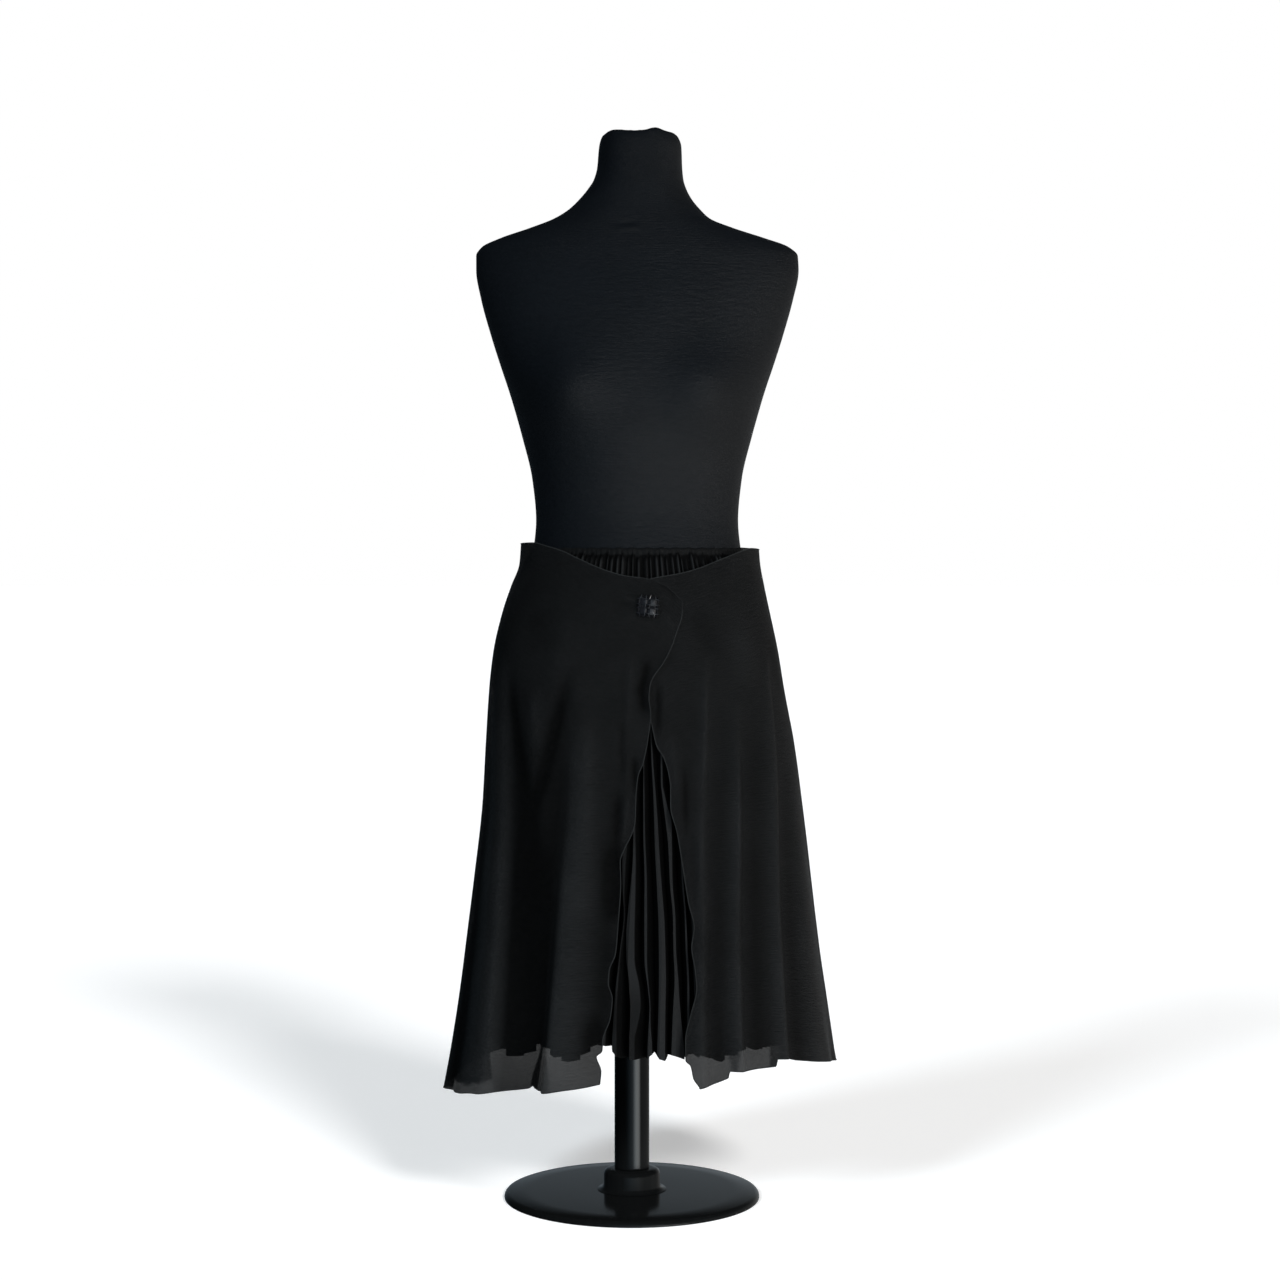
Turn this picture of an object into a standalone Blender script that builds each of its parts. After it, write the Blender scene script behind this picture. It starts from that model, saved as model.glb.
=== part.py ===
"""A pleated skirt with a wrap overskirt, worn on a limbless dress form that stands on a round base.

Tables are in millimetres and degrees, and points become metres where a mesh is made. +Z is up and the
garment's front faces -Y. A turn is an angle seen from above, measured from the front centre line: 0 is the
front, 90 the +X side and 180 the back. The origin is at the middle of the base's underside.
"""

import math
from collections import namedtuple

import bmesh
import bpy
from mathutils import Vector

MM = 0.001

# Driving dimensions
FORM_BOTTOM = 520.0
FORM_SHIFT = 6.0
POLE_RADIUS = 20.5
FLANGE_RADIUS = 45.0
FLANGE_THICK = 6.0
BASE_RADIUS = 150.0
BASE_THICK = 9.0
BASE_EDGE = 4.0
COLLAR_RADIUS = 33.0
COLLAR_TOP = 34.0
COLLAR_EDGE = 4.0
COLLAR_FOOT_OUT = 8.0
COLLAR_FOOT_UP = 2.0
SEAT_GAP = 0.3

CLOTH_THICK = 1.2
SEAM_GAP = 0.4

WAIST_TOP = 763.0
WAIST_BOTTOM = 715.0
GATHERS = 84
GATHER_DEPTH = 3.0
GATHER_AT_TOP = 0.25
BAND_CLEARANCE = 1.7

PLEATS_PER_PANEL = 38
PLEAT_TOP = WAIST_BOTTOM - 2 * SEAM_GAP
PLEAT_HEM = 188.0
PLEAT_HEM_RISE = 12.0
PLEAT_ROW_SPREAD = 1.3

FOLD_HEM = 150.0
FOLD_GROWTH = 1.2
FOLD_DRIFT = 0.5
WRAP_STEP = 2.2
WRAP_ENDS = 55.0
WRAP_FULL = 25.0

BUTTON_SIZE = 23.0
BUTTON_X = 12.5
BUTTON_Z = 697.0
BUTTON_TILT = 5.0
SETTING_THICK = 2.4
SETTING_CROWN = 0.94
STONE_SIZE = 9.6
STONE_THICK = 2.6
STONE_CROWN = 0.55
STONE_GAP = 0.4

# Columns and rows of the lofts
FORM_COLUMNS = 34
FORM_ROWS = 32
FRONT_COLUMNS = 26
FRONT_ROWS = 15
BACK_COLUMNS = 32
BACK_ROWS = 10
PLEAT_ROWS = 8

# A horizontal section: its height, and how far it reaches from the axis to -X, +X, the front and the back
Section = namedtuple("Section", "z left right front back")
# A point on an edge that runs across a panel: its share of the way from the side seam to the front edge
EdgeHeight = namedtuple("EdgeHeight", "share z")
# A point on a front edge, seen from the front
EdgePoint = namedtuple("EdgePoint", "z x")
# A soft fold: its turn where it starts and at the hem, its half width in degrees, how far it stands out at
# the hem (a valley is negative), how far its crest leans sideways there, and the height where it starts
Fold = namedtuple("Fold", "start_turn hem_turn width out lean start_z")
# Pleat depth at a height
PleatDepth = namedtuple("PleatDepth", "z depth")

FORM = [
    Section(1244, 36, 44, 40, 40),
    Section(1240, 41, 48, 45, 45),
    Section(1230, 44, 51.5, 48, 48),
    Section(1205, 46.5, 52.5, 50, 51),
    Section(1191, 50.5, 54, 52, 55),
    Section(1180, 57.5, 57.5, 54, 59),
    Section(1168, 67.5, 64, 57, 64),
    Section(1156, 80, 74, 60, 69),
    Section(1145, 98, 86, 63, 74),
    Section(1134, 127, 114, 67, 79),
    Section(1123, 160, 149, 70, 84),
    Section(1113, 181, 177, 73, 88),
    Section(1103, 187.5, 187.5, 77, 92),
    Section(1086, 187.5, 188.5, 82, 98),
    Section(1053, 182, 182, 92, 104),
    Section(1006, 169, 169, 101, 107),
    Section(975, 159, 159, 105, 105),
    Section(945, 149, 149, 107, 102),
    Section(920, 141.5, 141.5, 105, 97),
    Section(895, 134.5, 134.5, 100, 91),
    Section(842, 122, 122, 88, 83),
    Section(796, 118, 118, 83, 82),
    Section(763, 121, 121, 86, 88),
    Section(718, 136, 136, 93, 103),
    Section(660, 152, 152, 101, 118),
    Section(608, 159, 159, 105, 124),
    Section(560, 160, 160, 102, 119),
    Section(530, 157, 157, 97, 112),
    Section(524, 154, 154, 94, 108),
    Section(520, 149, 149, 89, 103),
]
BUST_X = 74.0
BUST_Z = 948.0
BUST_WIDTH = 52.0
BUST_DEPTH = 17.0

OVERSKIRT = [
    Section(771, 135.5, 142, 93.5, 93.8),
    Section(745, 137.5, 144, 97.5, 101),
    Section(718, 147.5, 149, 104, 111.6),
    Section(690, 157, 155, 110, 122),
    Section(643, 168, 165, 117, 134),
    Section(600, 173, 172, 121, 140),
    Section(540, 177, 183, 127, 145),
    Section(468, 181, 193, 137, 154),
    Section(380, 191, 204, 151, 167),
    Section(292, 202, 215, 165, 180),
    Section(200, 215, 229, 178, 193),
    Section(125, 228, 240, 188, 203),
]

# The middle of the pleats' zigzag
UNDERSKIRT = [
    Section(720, 140.5, 140.5, 97.5, 107.3),
    Section(690, 149.5, 149.5, 103, 116.3),
    Section(660, 158, 158, 107.5, 124.5),
    Section(608, 164, 164, 110.5, 129.5),
    Section(560, 166, 167, 113, 131),
    Section(468, 172, 177, 122, 138),
    Section(380, 181, 187, 133, 150),
    Section(292, 190, 197, 144, 162),
    Section(188, 200, 208, 157, 175),
]
PLEAT_DEPTHS = [
    PleatDepth(720, 3.2),
    PleatDepth(608, 4.4),
    PleatDepth(468, 7.0),
    PleatDepth(188, 9.5),
]

# The front on the -X side lies on top, and holds the buttonhole
TOP_FRONT = {
    "side": -1,
    "step": 0.0,
    "top": [
        EdgeHeight(0.0, 768),
        EdgeHeight(0.25, 769),
        EdgeHeight(0.385, 764),
        EdgeHeight(0.46, 759.5),
        EdgeHeight(0.54, 751.5),
        EdgeHeight(0.69, 736.5),
        EdgeHeight(0.77, 731),
        EdgeHeight(0.86, 728),
        EdgeHeight(0.925, 721),
        EdgeHeight(1.0, 703),
    ],
    "hem": [
        EdgeHeight(0.0, 130),
        EdgeHeight(0.15, 134.5),
        EdgeHeight(0.3, 137.5),
        EdgeHeight(0.42, 145),
        EdgeHeight(0.58, 151),
        EdgeHeight(0.7, 157.5),
        EdgeHeight(0.77, 158),
        EdgeHeight(0.85, 161),
        EdgeHeight(0.92, 162.5),
        EdgeHeight(1.0, 168),
    ],
    "edge": [
        EdgePoint(703, 52),
        EdgePoint(672, 47.5),
        EdgePoint(640, 34),
        EdgePoint(611, 18),
        EdgePoint(591, 14),
        EdgePoint(571, 15),
        EdgePoint(540, 10),
        EdgePoint(506, 1.5),
        EdgePoint(452, -4),
        EdgePoint(412, -18),
        EdgePoint(380, -18),
        EdgePoint(343, -22),
        EdgePoint(285, -32),
        EdgePoint(258, -28.5),
        EdgePoint(200, -42),
        EdgePoint(170, -40),
    ],
}
UNDER_FRONT = {
    "side": 1,
    "step": WRAP_STEP,
    "top": [
        EdgeHeight(0.0, 761),
        EdgeHeight(0.23, 762.5),
        EdgeHeight(0.31, 760),
        EdgeHeight(0.46, 751),
        EdgeHeight(0.615, 739),
        EdgeHeight(0.69, 734.5),
        EdgeHeight(0.85, 727),
        EdgeHeight(0.93, 718),
        EdgeHeight(1.0, 700),
    ],
    "hem": [
        EdgeHeight(0.0, 162),
        EdgeHeight(0.12, 167),
        EdgeHeight(0.38, 176.5),
        EdgeHeight(0.5, 181.5),
        EdgeHeight(0.58, 187),
        EdgeHeight(0.62, 187),
        EdgeHeight(0.66, 181),
        EdgeHeight(0.75, 178),
        EdgeHeight(0.85, 179.5),
        EdgeHeight(0.89, 169),
        EdgeHeight(0.93, 166),
        EdgeHeight(1.0, 163.5),
    ],
    "edge": [
        EdgePoint(700, -25),
        EdgePoint(660, -14),
        EdgePoint(620, 4),
        EdgePoint(571, 15),
        EdgePoint(527, 30),
        EdgePoint(500, 37),
        EdgePoint(470, 38.5),
        EdgePoint(401, 52.5),
        EdgePoint(340, 64),
        EdgePoint(318, 61),
        EdgePoint(275, 66),
        EdgePoint(217, 55),
        EdgePoint(190, 58),
        EdgePoint(166, 68),
    ],
}
BACK_TOP = [EdgeHeight(0.0, 761), EdgeHeight(0.5, 767), EdgeHeight(1.0, 768)]
BACK_HEM = [
    EdgeHeight(0.0, 162),
    EdgeHeight(0.2, 158),
    EdgeHeight(0.45, 165),
    EdgeHeight(0.7, 152),
    EdgeHeight(0.85, 142),
    EdgeHeight(1.0, 130),
]

FOLDS = [
    Fold(-80, -74, 7, -5, 0, 560),
    Fold(-69, -54, 8, 7, 3, 610),
    Fold(-62, -39, 7, -6, 0, 600),
    Fold(-24, -36, 7, -7, 0, 600),
    Fold(-20, -21, 6, 9, -5, 600),
    Fold(-7, -12, 4, -4, 0, 520),
    Fold(29, 18, 4, 4, 0, 640),
    Fold(36, 23, 4, -4, 0, 590),
    Fold(44, 28, 5, 6, 3, 580),
    Fold(54, 36, 4, -5, 0, 590),
    Fold(65, 44, 5, 5, 3, 640),
    Fold(70, 53, 5, -5, 0, 520),
    Fold(78, 66, 9, 6, 0, 560),
    Fold(104, 98, 7, -7, 0, 560),
    Fold(122, 118, 8, 8, 2, 600),
    Fold(140, 137, 7, -8, 0, 540),
    Fold(155, 154, 8, 7, -2, 620),
    Fold(172, 172, 7, -7, 0, 560),
    Fold(190, 189, 9, 8, 2, 600),
    Fold(211, 210, 8, -9, 0, 540),
    Fold(230, 231, 8, 8, -3, 610),
    Fold(252, 256, 8, -6, 0, 560),
]

FORM_CLOTH = ("form_jersey", (0.030, 0.033, 0.038), 0.80, 0.0)
CHIFFON = ("black_chiffon", (0.022, 0.025, 0.028), 0.75, 0.0)
CREPE = ("black_pleated_crepe", (0.010, 0.011, 0.012), 0.65, 0.0)
STAND_STEEL = ("black_steel", (0.040, 0.043, 0.044), 0.35, 0.9)
GUNMETAL = ("gunmetal", (0.060, 0.062, 0.066), 0.25, 1.0)
JET_GLASS = ("jet_glass", (0.008, 0.008, 0.009), 0.06, 0.0)


def clear_scene():
    for obj in list(bpy.data.objects):
        bpy.data.objects.remove(obj, do_unlink=True)


def make_material(spec):
    name, colour, roughness, metallic = spec
    material = bpy.data.materials.get(name)
    if material is None:
        material = bpy.data.materials.new(name)
        material.use_nodes = True
        shader = material.node_tree.nodes["Principled BSDF"]
        shader.inputs["Base Color"].default_value = (*colour, 1.0)
        shader.inputs["Roughness"].default_value = roughness
        shader.inputs["Metallic"].default_value = metallic
        material.diffuse_color = (*colour, 1.0)
    return material


def add_object(name, mesh, material, collection, smooth=False):
    if smooth:
        mesh.shade_smooth()
    obj = bpy.data.objects.new(name, mesh)
    mesh.materials.append(make_material(material))
    collection.objects.link(obj)
    return obj


def mesh_from(bm, name):
    bmesh.ops.recalc_face_normals(bm, faces=bm.faces)
    mesh = bpy.data.meshes.new(name)
    bm.to_mesh(mesh)
    bm.free()
    return mesh


def on_curve(keys, values, at):
    """The value at a key, on a smooth curve through the rows. Keys may rise or fall."""
    if keys[0] > keys[-1]:
        keys, values = keys[::-1], values[::-1]
    at = min(max(at, keys[0]), keys[-1])
    i = next(k for k in range(len(keys) - 1) if at <= keys[k + 1])
    span = keys[i + 1] - keys[i]

    def slope(k):
        if k == 0 or k == len(keys) - 1:
            return (values[i + 1] - values[i]) / span
        before = (values[k] - values[k - 1]) / (keys[k] - keys[k - 1])
        after = (values[k + 1] - values[k]) / (keys[k + 1] - keys[k])
        if before * after <= 0:
            return 0.0
        return 2 * before * after / (before + after)

    t = (at - keys[i]) / span
    return (
        values[i] * (1 + 2 * t) * (1 - t) ** 2
        + values[i + 1] * (3 - 2 * t) * t**2
        + slope(i) * span * t * (1 - t) ** 2
        - slope(i + 1) * span * t**2 * (1 - t)
    )


def from_rows(rows, key, column, at):
    return on_curve([getattr(r, key) for r in rows], [getattr(r, column) for r in rows], at)


def section_at(rows, z):
    return Section(z, *(from_rows(rows, "z", side, z) for side in ("left", "right", "front", "back")))


def around(section, turn, out=0.0):
    """A point of a section at a turn, moved out from it along the section's own normal.

    Sections are measured from the form's middle line, which stands FORM_SHIFT from the pole's axis.
    """
    s, c = math.sin(math.radians(turn)), math.cos(math.radians(turn))
    across = section.right if s > 0 else section.left
    along = section.front if c > 0 else section.back
    normal = Vector((s / across, -c / along)).normalized()
    x = FORM_SHIFT + across * s + normal.x * out
    return Vector((x, -along * c + normal.y * out, section.z))


def turn_at(section, x):
    """The turn on a section's front where it has this x."""
    return math.degrees(math.asin(x / (section.right if x > 0 else section.left)))


def even_turns(section, first, last, count):
    """Turns from first to last with the same length of cloth between them."""
    steps = 720
    turns = [first + (last - first) * k / steps for k in range(steps + 1)]
    points = [around(section, t) for t in turns]
    lengths = [0.0]
    for a, b in zip(points, points[1:]):
        lengths.append(lengths[-1] + (b - a).length)
    found, k = [], 0
    for n in range(count + 1):
        wanted = lengths[-1] * n / count
        while k < steps - 1 and lengths[k + 1] < wanted:
            k += 1
        share = (wanted - lengths[k]) / (lengths[k + 1] - lengths[k])
        found.append(turns[k] + (turns[k + 1] - turns[k]) * share)
    return found


def seam_turn(section, turn):
    """Half a seam's gap at a side seam, in degrees."""
    return math.degrees(0.5 * SEAM_GAP / (0.5 * (section.front + section.back))) if turn else 0.0


def loft(rows, closed):
    """A surface through rows of points, in metres, each row joined to the next."""
    bm = bmesh.new()
    lines = [[bm.verts.new(p * MM) for p in row] for row in rows]
    for upper, lower in zip(lines, lines[1:]):
        count = len(upper)
        for k in range(count if closed else count - 1):
            n = (k + 1) % count
            bm.faces.new((upper[k], lower[k], lower[n], upper[n]))
    return bm, lines


def cloth(name, rows, closed, material, collection, smooth=False):
    """A wall of cloth: an open surface given its thickness inwards."""
    bm, _ = loft(rows, closed)
    mesh = bpy.data.meshes.new(name)
    bm.to_mesh(mesh)
    bm.free()
    obj = add_object(name, mesh, material, collection, smooth)
    solidify = obj.modifiers.new("thickness", "SOLIDIFY")
    solidify.thickness = CLOTH_THICK * MM
    solidify.offset = -1.0
    solidify.use_even_offset = True
    return obj


def fold_field(turn, z):
    """How far the overskirt stands out of its plain section here, and how far it is moved round it."""
    out = lean = 0.0
    for fold in FOLDS:
        if z >= fold.start_z:
            continue
        down = (fold.start_z - z) / (fold.start_z - FOLD_HEM)
        grown = down**FOLD_GROWTH
        line = fold.start_turn + (fold.hem_turn - fold.start_turn) * min(down, 1.0) ** FOLD_DRIFT
        away = (turn - line + 180.0) % 360.0 - 180.0
        bump = math.exp(-((away / fold.width) ** 2))
        out += fold.out * grown * bump
        lean += fold.lean * grown * bump
    return out, lean


def overskirt_point(turn, z, inset=0.0):
    out, lean = fold_field(turn, z)
    return around(section_at(OVERSKIRT, z), turn + lean, out - inset)


def front_rows(panel, columns, rows):
    """The rows of points of a front panel, from its side seam to its free edge."""
    side = panel["side"]
    grid = []
    for r in range(rows + 1):
        line = []
        for c in range(columns + 1):
            share = c / columns
            top = from_rows(panel["top"], "share", "z", share)
            hem = from_rows(panel["hem"], "share", "z", share)
            z = top + (hem - top) * r / rows
            section = section_at(OVERSKIRT, z)
            seam = side * (90.0 - seam_turn(section, 90.0))
            edge = turn_at(section, from_rows(panel["edge"], "z", "x", z))
            turn = seam + (edge - seam) * share
            tucked = panel["step"] * (1.0 - smooth_step(WRAP_FULL, WRAP_ENDS, turn))
            line.append(overskirt_point(turn, z, tucked))
        grid.append(line if side < 0 else line[::-1])
    return grid


def smooth_step(low, high, value):
    t = min(max((value - low) / (high - low), 0.0), 1.0)
    return t * t * (3 - 2 * t)


def back_rows(columns, rows):
    grid = []
    for r in range(rows + 1):
        line = []
        for c in range(columns + 1):
            share = c / columns
            top = from_rows(BACK_TOP, "share", "z", share)
            hem = from_rows(BACK_HEM, "share", "z", share)
            z = top + (hem - top) * r / rows
            seam = seam_turn(section_at(OVERSKIRT, z), 90.0)
            turn = 90.0 + seam + (180.0 - 2 * seam) * share
            line.append(overskirt_point(turn, z))
        grid.append(line)
    return grid


def pleat_rows(first, last, rows):
    """A fan of knife-edged pleats: every other column stands out, and both ends are valleys."""
    hem = section_at(UNDERSKIRT, PLEAT_HEM)
    turns = even_turns(hem, first, last, 2 * PLEATS_PER_PANEL)
    grid = []
    for r in range(rows + 1):
        line = []
        for k, turn in enumerate(turns):
            hem_z = PLEAT_HEM + PLEAT_HEM_RISE * math.sin(math.radians(turn)) ** 2
            z = PLEAT_TOP + (hem_z - PLEAT_TOP) * (r / rows) ** PLEAT_ROW_SPREAD
            section = section_at(UNDERSKIRT, z)
            seam = seam_turn(section, 90.0)
            inward = (last - first - 2 * seam) / (last - first)
            half = 0.5 * from_rows(PLEAT_DEPTHS, "z", "depth", z)
            at = first + seam + (turn - first) * inward
            line.append(around(section, at, half if k % 2 else -half))
        grid.append(line)
    return grid


def waistband_rows():
    """The gathered elastic band, nearly smooth along its casing at the top."""
    grid = []
    for z, share in ((WAIST_TOP, GATHER_AT_TOP), (WAIST_BOTTOM, 1.0)):
        form = section_at(FORM, z)
        band = Section(z, *(reach + CLOTH_THICK + BAND_CLEARANCE for reach in form[1:]))
        turns = even_turns(band, -180.0, 180.0, 2 * GATHERS)[:-1]
        line = [around(band, t, GATHER_DEPTH * share * (k % 2)) for k, t in enumerate(turns)]
        grid.append(line)
    return grid


def row_height(share):
    """The height at a share of the form's rows, which are as close together as the table's are."""
    return on_curve([k / (len(FORM) - 1) for k in range(len(FORM))], [s.z for s in FORM], share)


def bust(point):
    """How far the bust stands out at a point of the form's front."""
    away_x = (abs(point.x - FORM_SHIFT) - BUST_X) / BUST_WIDTH
    away_z = (point.z - BUST_Z) / BUST_WIDTH
    return BUST_DEPTH * math.exp(-(away_x**2) - away_z**2)


def make_form(collection):
    """The limbless body: horizontal sections joined from the neck to the hips."""
    rows = []
    for r in range(FORM_ROWS + 1):
        section = section_at(FORM, row_height(r / FORM_ROWS))
        line = []
        for c in range(FORM_COLUMNS):
            p = around(section, 360.0 * c / FORM_COLUMNS)
            if p.y < 0:
                p.y -= bust(p)
            line.append(p)
        rows.append(line)
    bm, lines = loft(rows, True)
    bm.faces.new(lines[0])
    bm.faces.new(lines[-1])
    add_object("dress_form", mesh_from(bm, "dress_form"), FORM_CLOTH, collection, smooth=True)


def make_turned(name, profile, steps, material, collection):
    """A solid of revolution from (radius, height) pairs that run down its outer side, top to bottom."""
    mesh = bpy.data.meshes.new(name)
    points = [(r * MM, 0.0, z * MM) for r, z in profile]
    mesh.from_pydata(points, [(k, k + 1) for k in range(len(points) - 1)], [])
    obj = add_object(name, mesh, material, collection)
    screw = obj.modifiers.new("turn", "SCREW")
    screw.axis = "Z"
    screw.steps = screw.render_steps = steps
    screw.use_merge_vertices = True
    screw.merge_threshold = 0.00001
    screw.use_smooth_shade = True
    return obj


def make_stand(collection):
    flange_top = FORM_BOTTOM - SEAT_GAP
    flange_bottom = flange_top - FLANGE_THICK
    make_turned(
        "stand_flange",
        [
            (0.0, flange_top),
            (FLANGE_RADIUS, flange_top),
            (FLANGE_RADIUS, flange_bottom),
            (0.0, flange_bottom),
        ],
        32,
        STAND_STEEL,
        collection,
    )
    make_turned(
        "stand_pole",
        [
            (0.0, flange_bottom - SEAT_GAP),
            (POLE_RADIUS, flange_bottom - SEAT_GAP),
            (POLE_RADIUS, COLLAR_TOP + SEAT_GAP),
            (0.0, COLLAR_TOP + SEAT_GAP),
        ],
        32,
        STAND_STEEL,
        collection,
    )
    collar_bottom = BASE_THICK + SEAT_GAP
    make_turned(
        "stand_collar",
        [
            (0.0, COLLAR_TOP),
            (COLLAR_RADIUS - COLLAR_EDGE, COLLAR_TOP),
            (COLLAR_RADIUS, COLLAR_TOP - COLLAR_EDGE),
            (COLLAR_RADIUS, collar_bottom + COLLAR_FOOT_UP),
            (COLLAR_RADIUS + COLLAR_FOOT_OUT, collar_bottom),
            (0.0, collar_bottom),
        ],
        32,
        STAND_STEEL,
        collection,
    )
    make_turned(
        "stand_base",
        [
            (0.0, BASE_THICK),
            (BASE_RADIUS - BASE_EDGE, BASE_THICK),
            (BASE_RADIUS, BASE_THICK - BASE_EDGE),
            (BASE_RADIUS, 0.0),
            (0.0, 0.0),
        ],
        48,
        STAND_STEEL,
        collection,
    )


def faceted_block(name, size, thick, crown, material, collection):
    """A square block whose front face is drawn in, as a cut stone's is. Its back lies at its origin."""
    bm = bmesh.new()
    bmesh.ops.create_cube(bm, size=1.0)
    for v in bm.verts:
        front = v.co.y < 0
        reach = size * (crown if front else 1.0)
        v.co = Vector((v.co.x * reach, -thick if front else 0.0, v.co.z * reach)) * MM
    return add_object(name, mesh_from(bm, name), material, collection)


def make_button(collection):
    """A square shank button: a metal setting on the top front, with four square stones on it."""
    outer = section_at(OVERSKIRT, BUTTON_Z)
    seat = around(outer, turn_at(outer, BUTTON_X))
    half = 0.5 * BUTTON_SIZE
    reach = max(
        -around(section_at(OVERSKIRT, BUTTON_Z + dz), turn_at(outer, BUTTON_X + dx)).y
        for dx in (-half, 0.0, half)
        for dz in (-half, 0.0, half)
    )
    holder = bpy.data.objects.new("button_axis", None)
    collection.objects.link(holder)
    holder.location = Vector((seat.x, -reach - SEAT_GAP, BUTTON_Z)) * MM
    holder.rotation_euler.y = math.radians(BUTTON_TILT)
    setting = faceted_block(
        "button_setting", BUTTON_SIZE, SETTING_THICK, SETTING_CROWN, GUNMETAL, collection
    )
    setting.parent = holder
    pitch = 0.5 * (STONE_SIZE + STONE_GAP)
    for n, (sx, sz) in enumerate(((-1, 1), (1, 1), (-1, -1), (1, -1)), start=1):
        stone = faceted_block(
            f"button_stone_{n}", STONE_SIZE, STONE_THICK, STONE_CROWN, JET_GLASS, collection
        )
        stone.parent = holder
        stone.location = Vector((sx * pitch, -SETTING_THICK - SEAT_GAP, sz * pitch)) * MM


def main():
    clear_scene()
    collection = bpy.data.collections.new("pleated_skirt_on_dress_form")
    bpy.context.scene.collection.children.link(collection)

    make_form(collection)
    make_stand(collection)

    cloth("waistband", waistband_rows(), True, CREPE, collection)
    cloth("pleated_front", pleat_rows(-90.0, 90.0, PLEAT_ROWS), False, CREPE, collection)
    cloth("pleated_back", pleat_rows(90.0, 270.0, PLEAT_ROWS), False, CREPE, collection)

    top = front_rows(TOP_FRONT, FRONT_COLUMNS, FRONT_ROWS)
    under = front_rows(UNDER_FRONT, FRONT_COLUMNS, FRONT_ROWS)
    back = back_rows(BACK_COLUMNS, BACK_ROWS)
    cloth("overskirt_right_front", top, False, CHIFFON, collection, smooth=True)
    cloth("overskirt_left_front", under, False, CHIFFON, collection, smooth=True)
    cloth("overskirt_back", back, False, CHIFFON, collection, smooth=True)
    make_button(collection)


main()
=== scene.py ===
import math

import bmesh
import bpy
import numpy as np
from mathutils import Matrix, Vector, noise


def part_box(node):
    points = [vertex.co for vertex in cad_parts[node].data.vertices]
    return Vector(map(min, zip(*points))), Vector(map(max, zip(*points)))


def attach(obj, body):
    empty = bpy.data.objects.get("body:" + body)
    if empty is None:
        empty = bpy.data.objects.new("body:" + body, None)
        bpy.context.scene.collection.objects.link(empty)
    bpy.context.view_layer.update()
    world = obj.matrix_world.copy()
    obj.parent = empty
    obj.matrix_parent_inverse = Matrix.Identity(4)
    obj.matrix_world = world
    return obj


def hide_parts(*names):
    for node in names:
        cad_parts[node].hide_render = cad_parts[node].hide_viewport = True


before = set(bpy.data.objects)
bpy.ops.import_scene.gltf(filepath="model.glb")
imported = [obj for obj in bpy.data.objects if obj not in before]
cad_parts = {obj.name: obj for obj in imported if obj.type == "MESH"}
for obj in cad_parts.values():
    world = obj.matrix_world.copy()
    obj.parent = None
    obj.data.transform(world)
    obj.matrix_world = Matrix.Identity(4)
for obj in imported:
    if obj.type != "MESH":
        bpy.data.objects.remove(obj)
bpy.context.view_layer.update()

print("frame loaded,", len(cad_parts), "nodes")

mm = 0.001
formShift = 6.0  # the garment's middle line stands this far from the pole's axis

# A turn is an angle seen from above, in degrees: 0 is the front, 90 the wearer's left and 180 the back.
# Each shape row is a height, then how far the cloth reaches to the wearer's right, to the left,
# to the front and to the back, all in millimetres.


def smoothLine(pairs, at):
    # the value on a smooth line through (where, value) pairs, which never overshoots them
    pairs = sorted(pairs)
    where = np.array([pair[0] for pair in pairs], float)
    value = np.array([pair[1] for pair in pairs], float)
    at = np.clip(np.asarray(at, float), where[0], where[-1])
    k = np.clip(np.searchsorted(where, at) - 1, 0, len(where) - 2)
    span = np.diff(where)
    rise = np.diff(value) / span
    slope = np.empty_like(value)
    slope[0], slope[-1] = rise[0], rise[-1]
    product, total = rise[:-1] * rise[1:], rise[:-1] + rise[1:]
    slope[1:-1] = np.where(product > 0, 2 * product / np.where(total == 0, 1, total), 0)
    h, t = span[k], (at - where[k]) / span[k]
    return (
        value[k] * (1 + 2 * t) * (1 - t) ** 2
        + value[k + 1] * (3 - 2 * t) * t**2
        + slope[k] * h * t * (1 - t) ** 2
        - slope[k + 1] * h * t**2 * (1 - t)
    )


def softStep(low, high, value):
    t = np.clip((value - low) / (high - low), 0, 1)
    return t * t * (3 - 2 * t)


def reachAt(rows, z):
    return [smoothLine([(row[0], row[side]) for row in rows], z) for side in (1, 2, 3, 4)]


def aroundForm(rows, turn, z, out=0.0):
    right, left, front, back = reachAt(rows, z)
    s, c = np.sin(np.radians(turn)), np.cos(np.radians(turn))
    across, along = np.where(s > 0, left, right), np.where(c > 0, front, back)
    nx, ny = s / across, -c / along
    size = np.hypot(nx, ny)
    x = formShift + across * s + out * nx / size
    return np.stack([x, -along * c + out * ny / size, z + 0 * x], -1)


def turnAtX(rows, z, x):
    right, left, _, _ = reachAt(rows, z)
    return np.degrees(np.arcsin(np.clip(x / np.where(x > 0, left, right), -1, 1)))


def uneven(points, size, seed):
    # slow unevenness from -1 to 1 over the points, with features of about this size in millimetres
    shift = Vector((seed * 7.3, seed * 3.1, seed * 5.7))
    return np.array([noise.noise(Vector(p) / size + shift) for p in points])


def creaseField(creases, turn, z, radius=150.0):
    # each crease: turn and height of one end, turn and height of the other, half width, how far out
    x = np.radians(turn) * radius
    total = np.zeros_like(x)
    for turnA, zA, turnB, zB, width, out in creases:
        a = np.array([math.radians(turnA) * radius, zA])
        b = np.array([math.radians(turnB) * radius, zB])
        along = b - a
        t = ((x - a[0]) * along[0] + (z - a[1]) * along[1]) / (along @ along)
        near = np.clip(t, 0, 1)
        away = np.hypot(x - a[0] - near * along[0], z - a[1] - near * along[1])
        taper = softStep(-0.05, 0.35, t) * softStep(1.05, 0.65, t)
        total += out * taper * np.exp(-((away / width) ** 2))
    return total


foldEnd = 150.0  # the height at which every fold is fully grown


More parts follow.
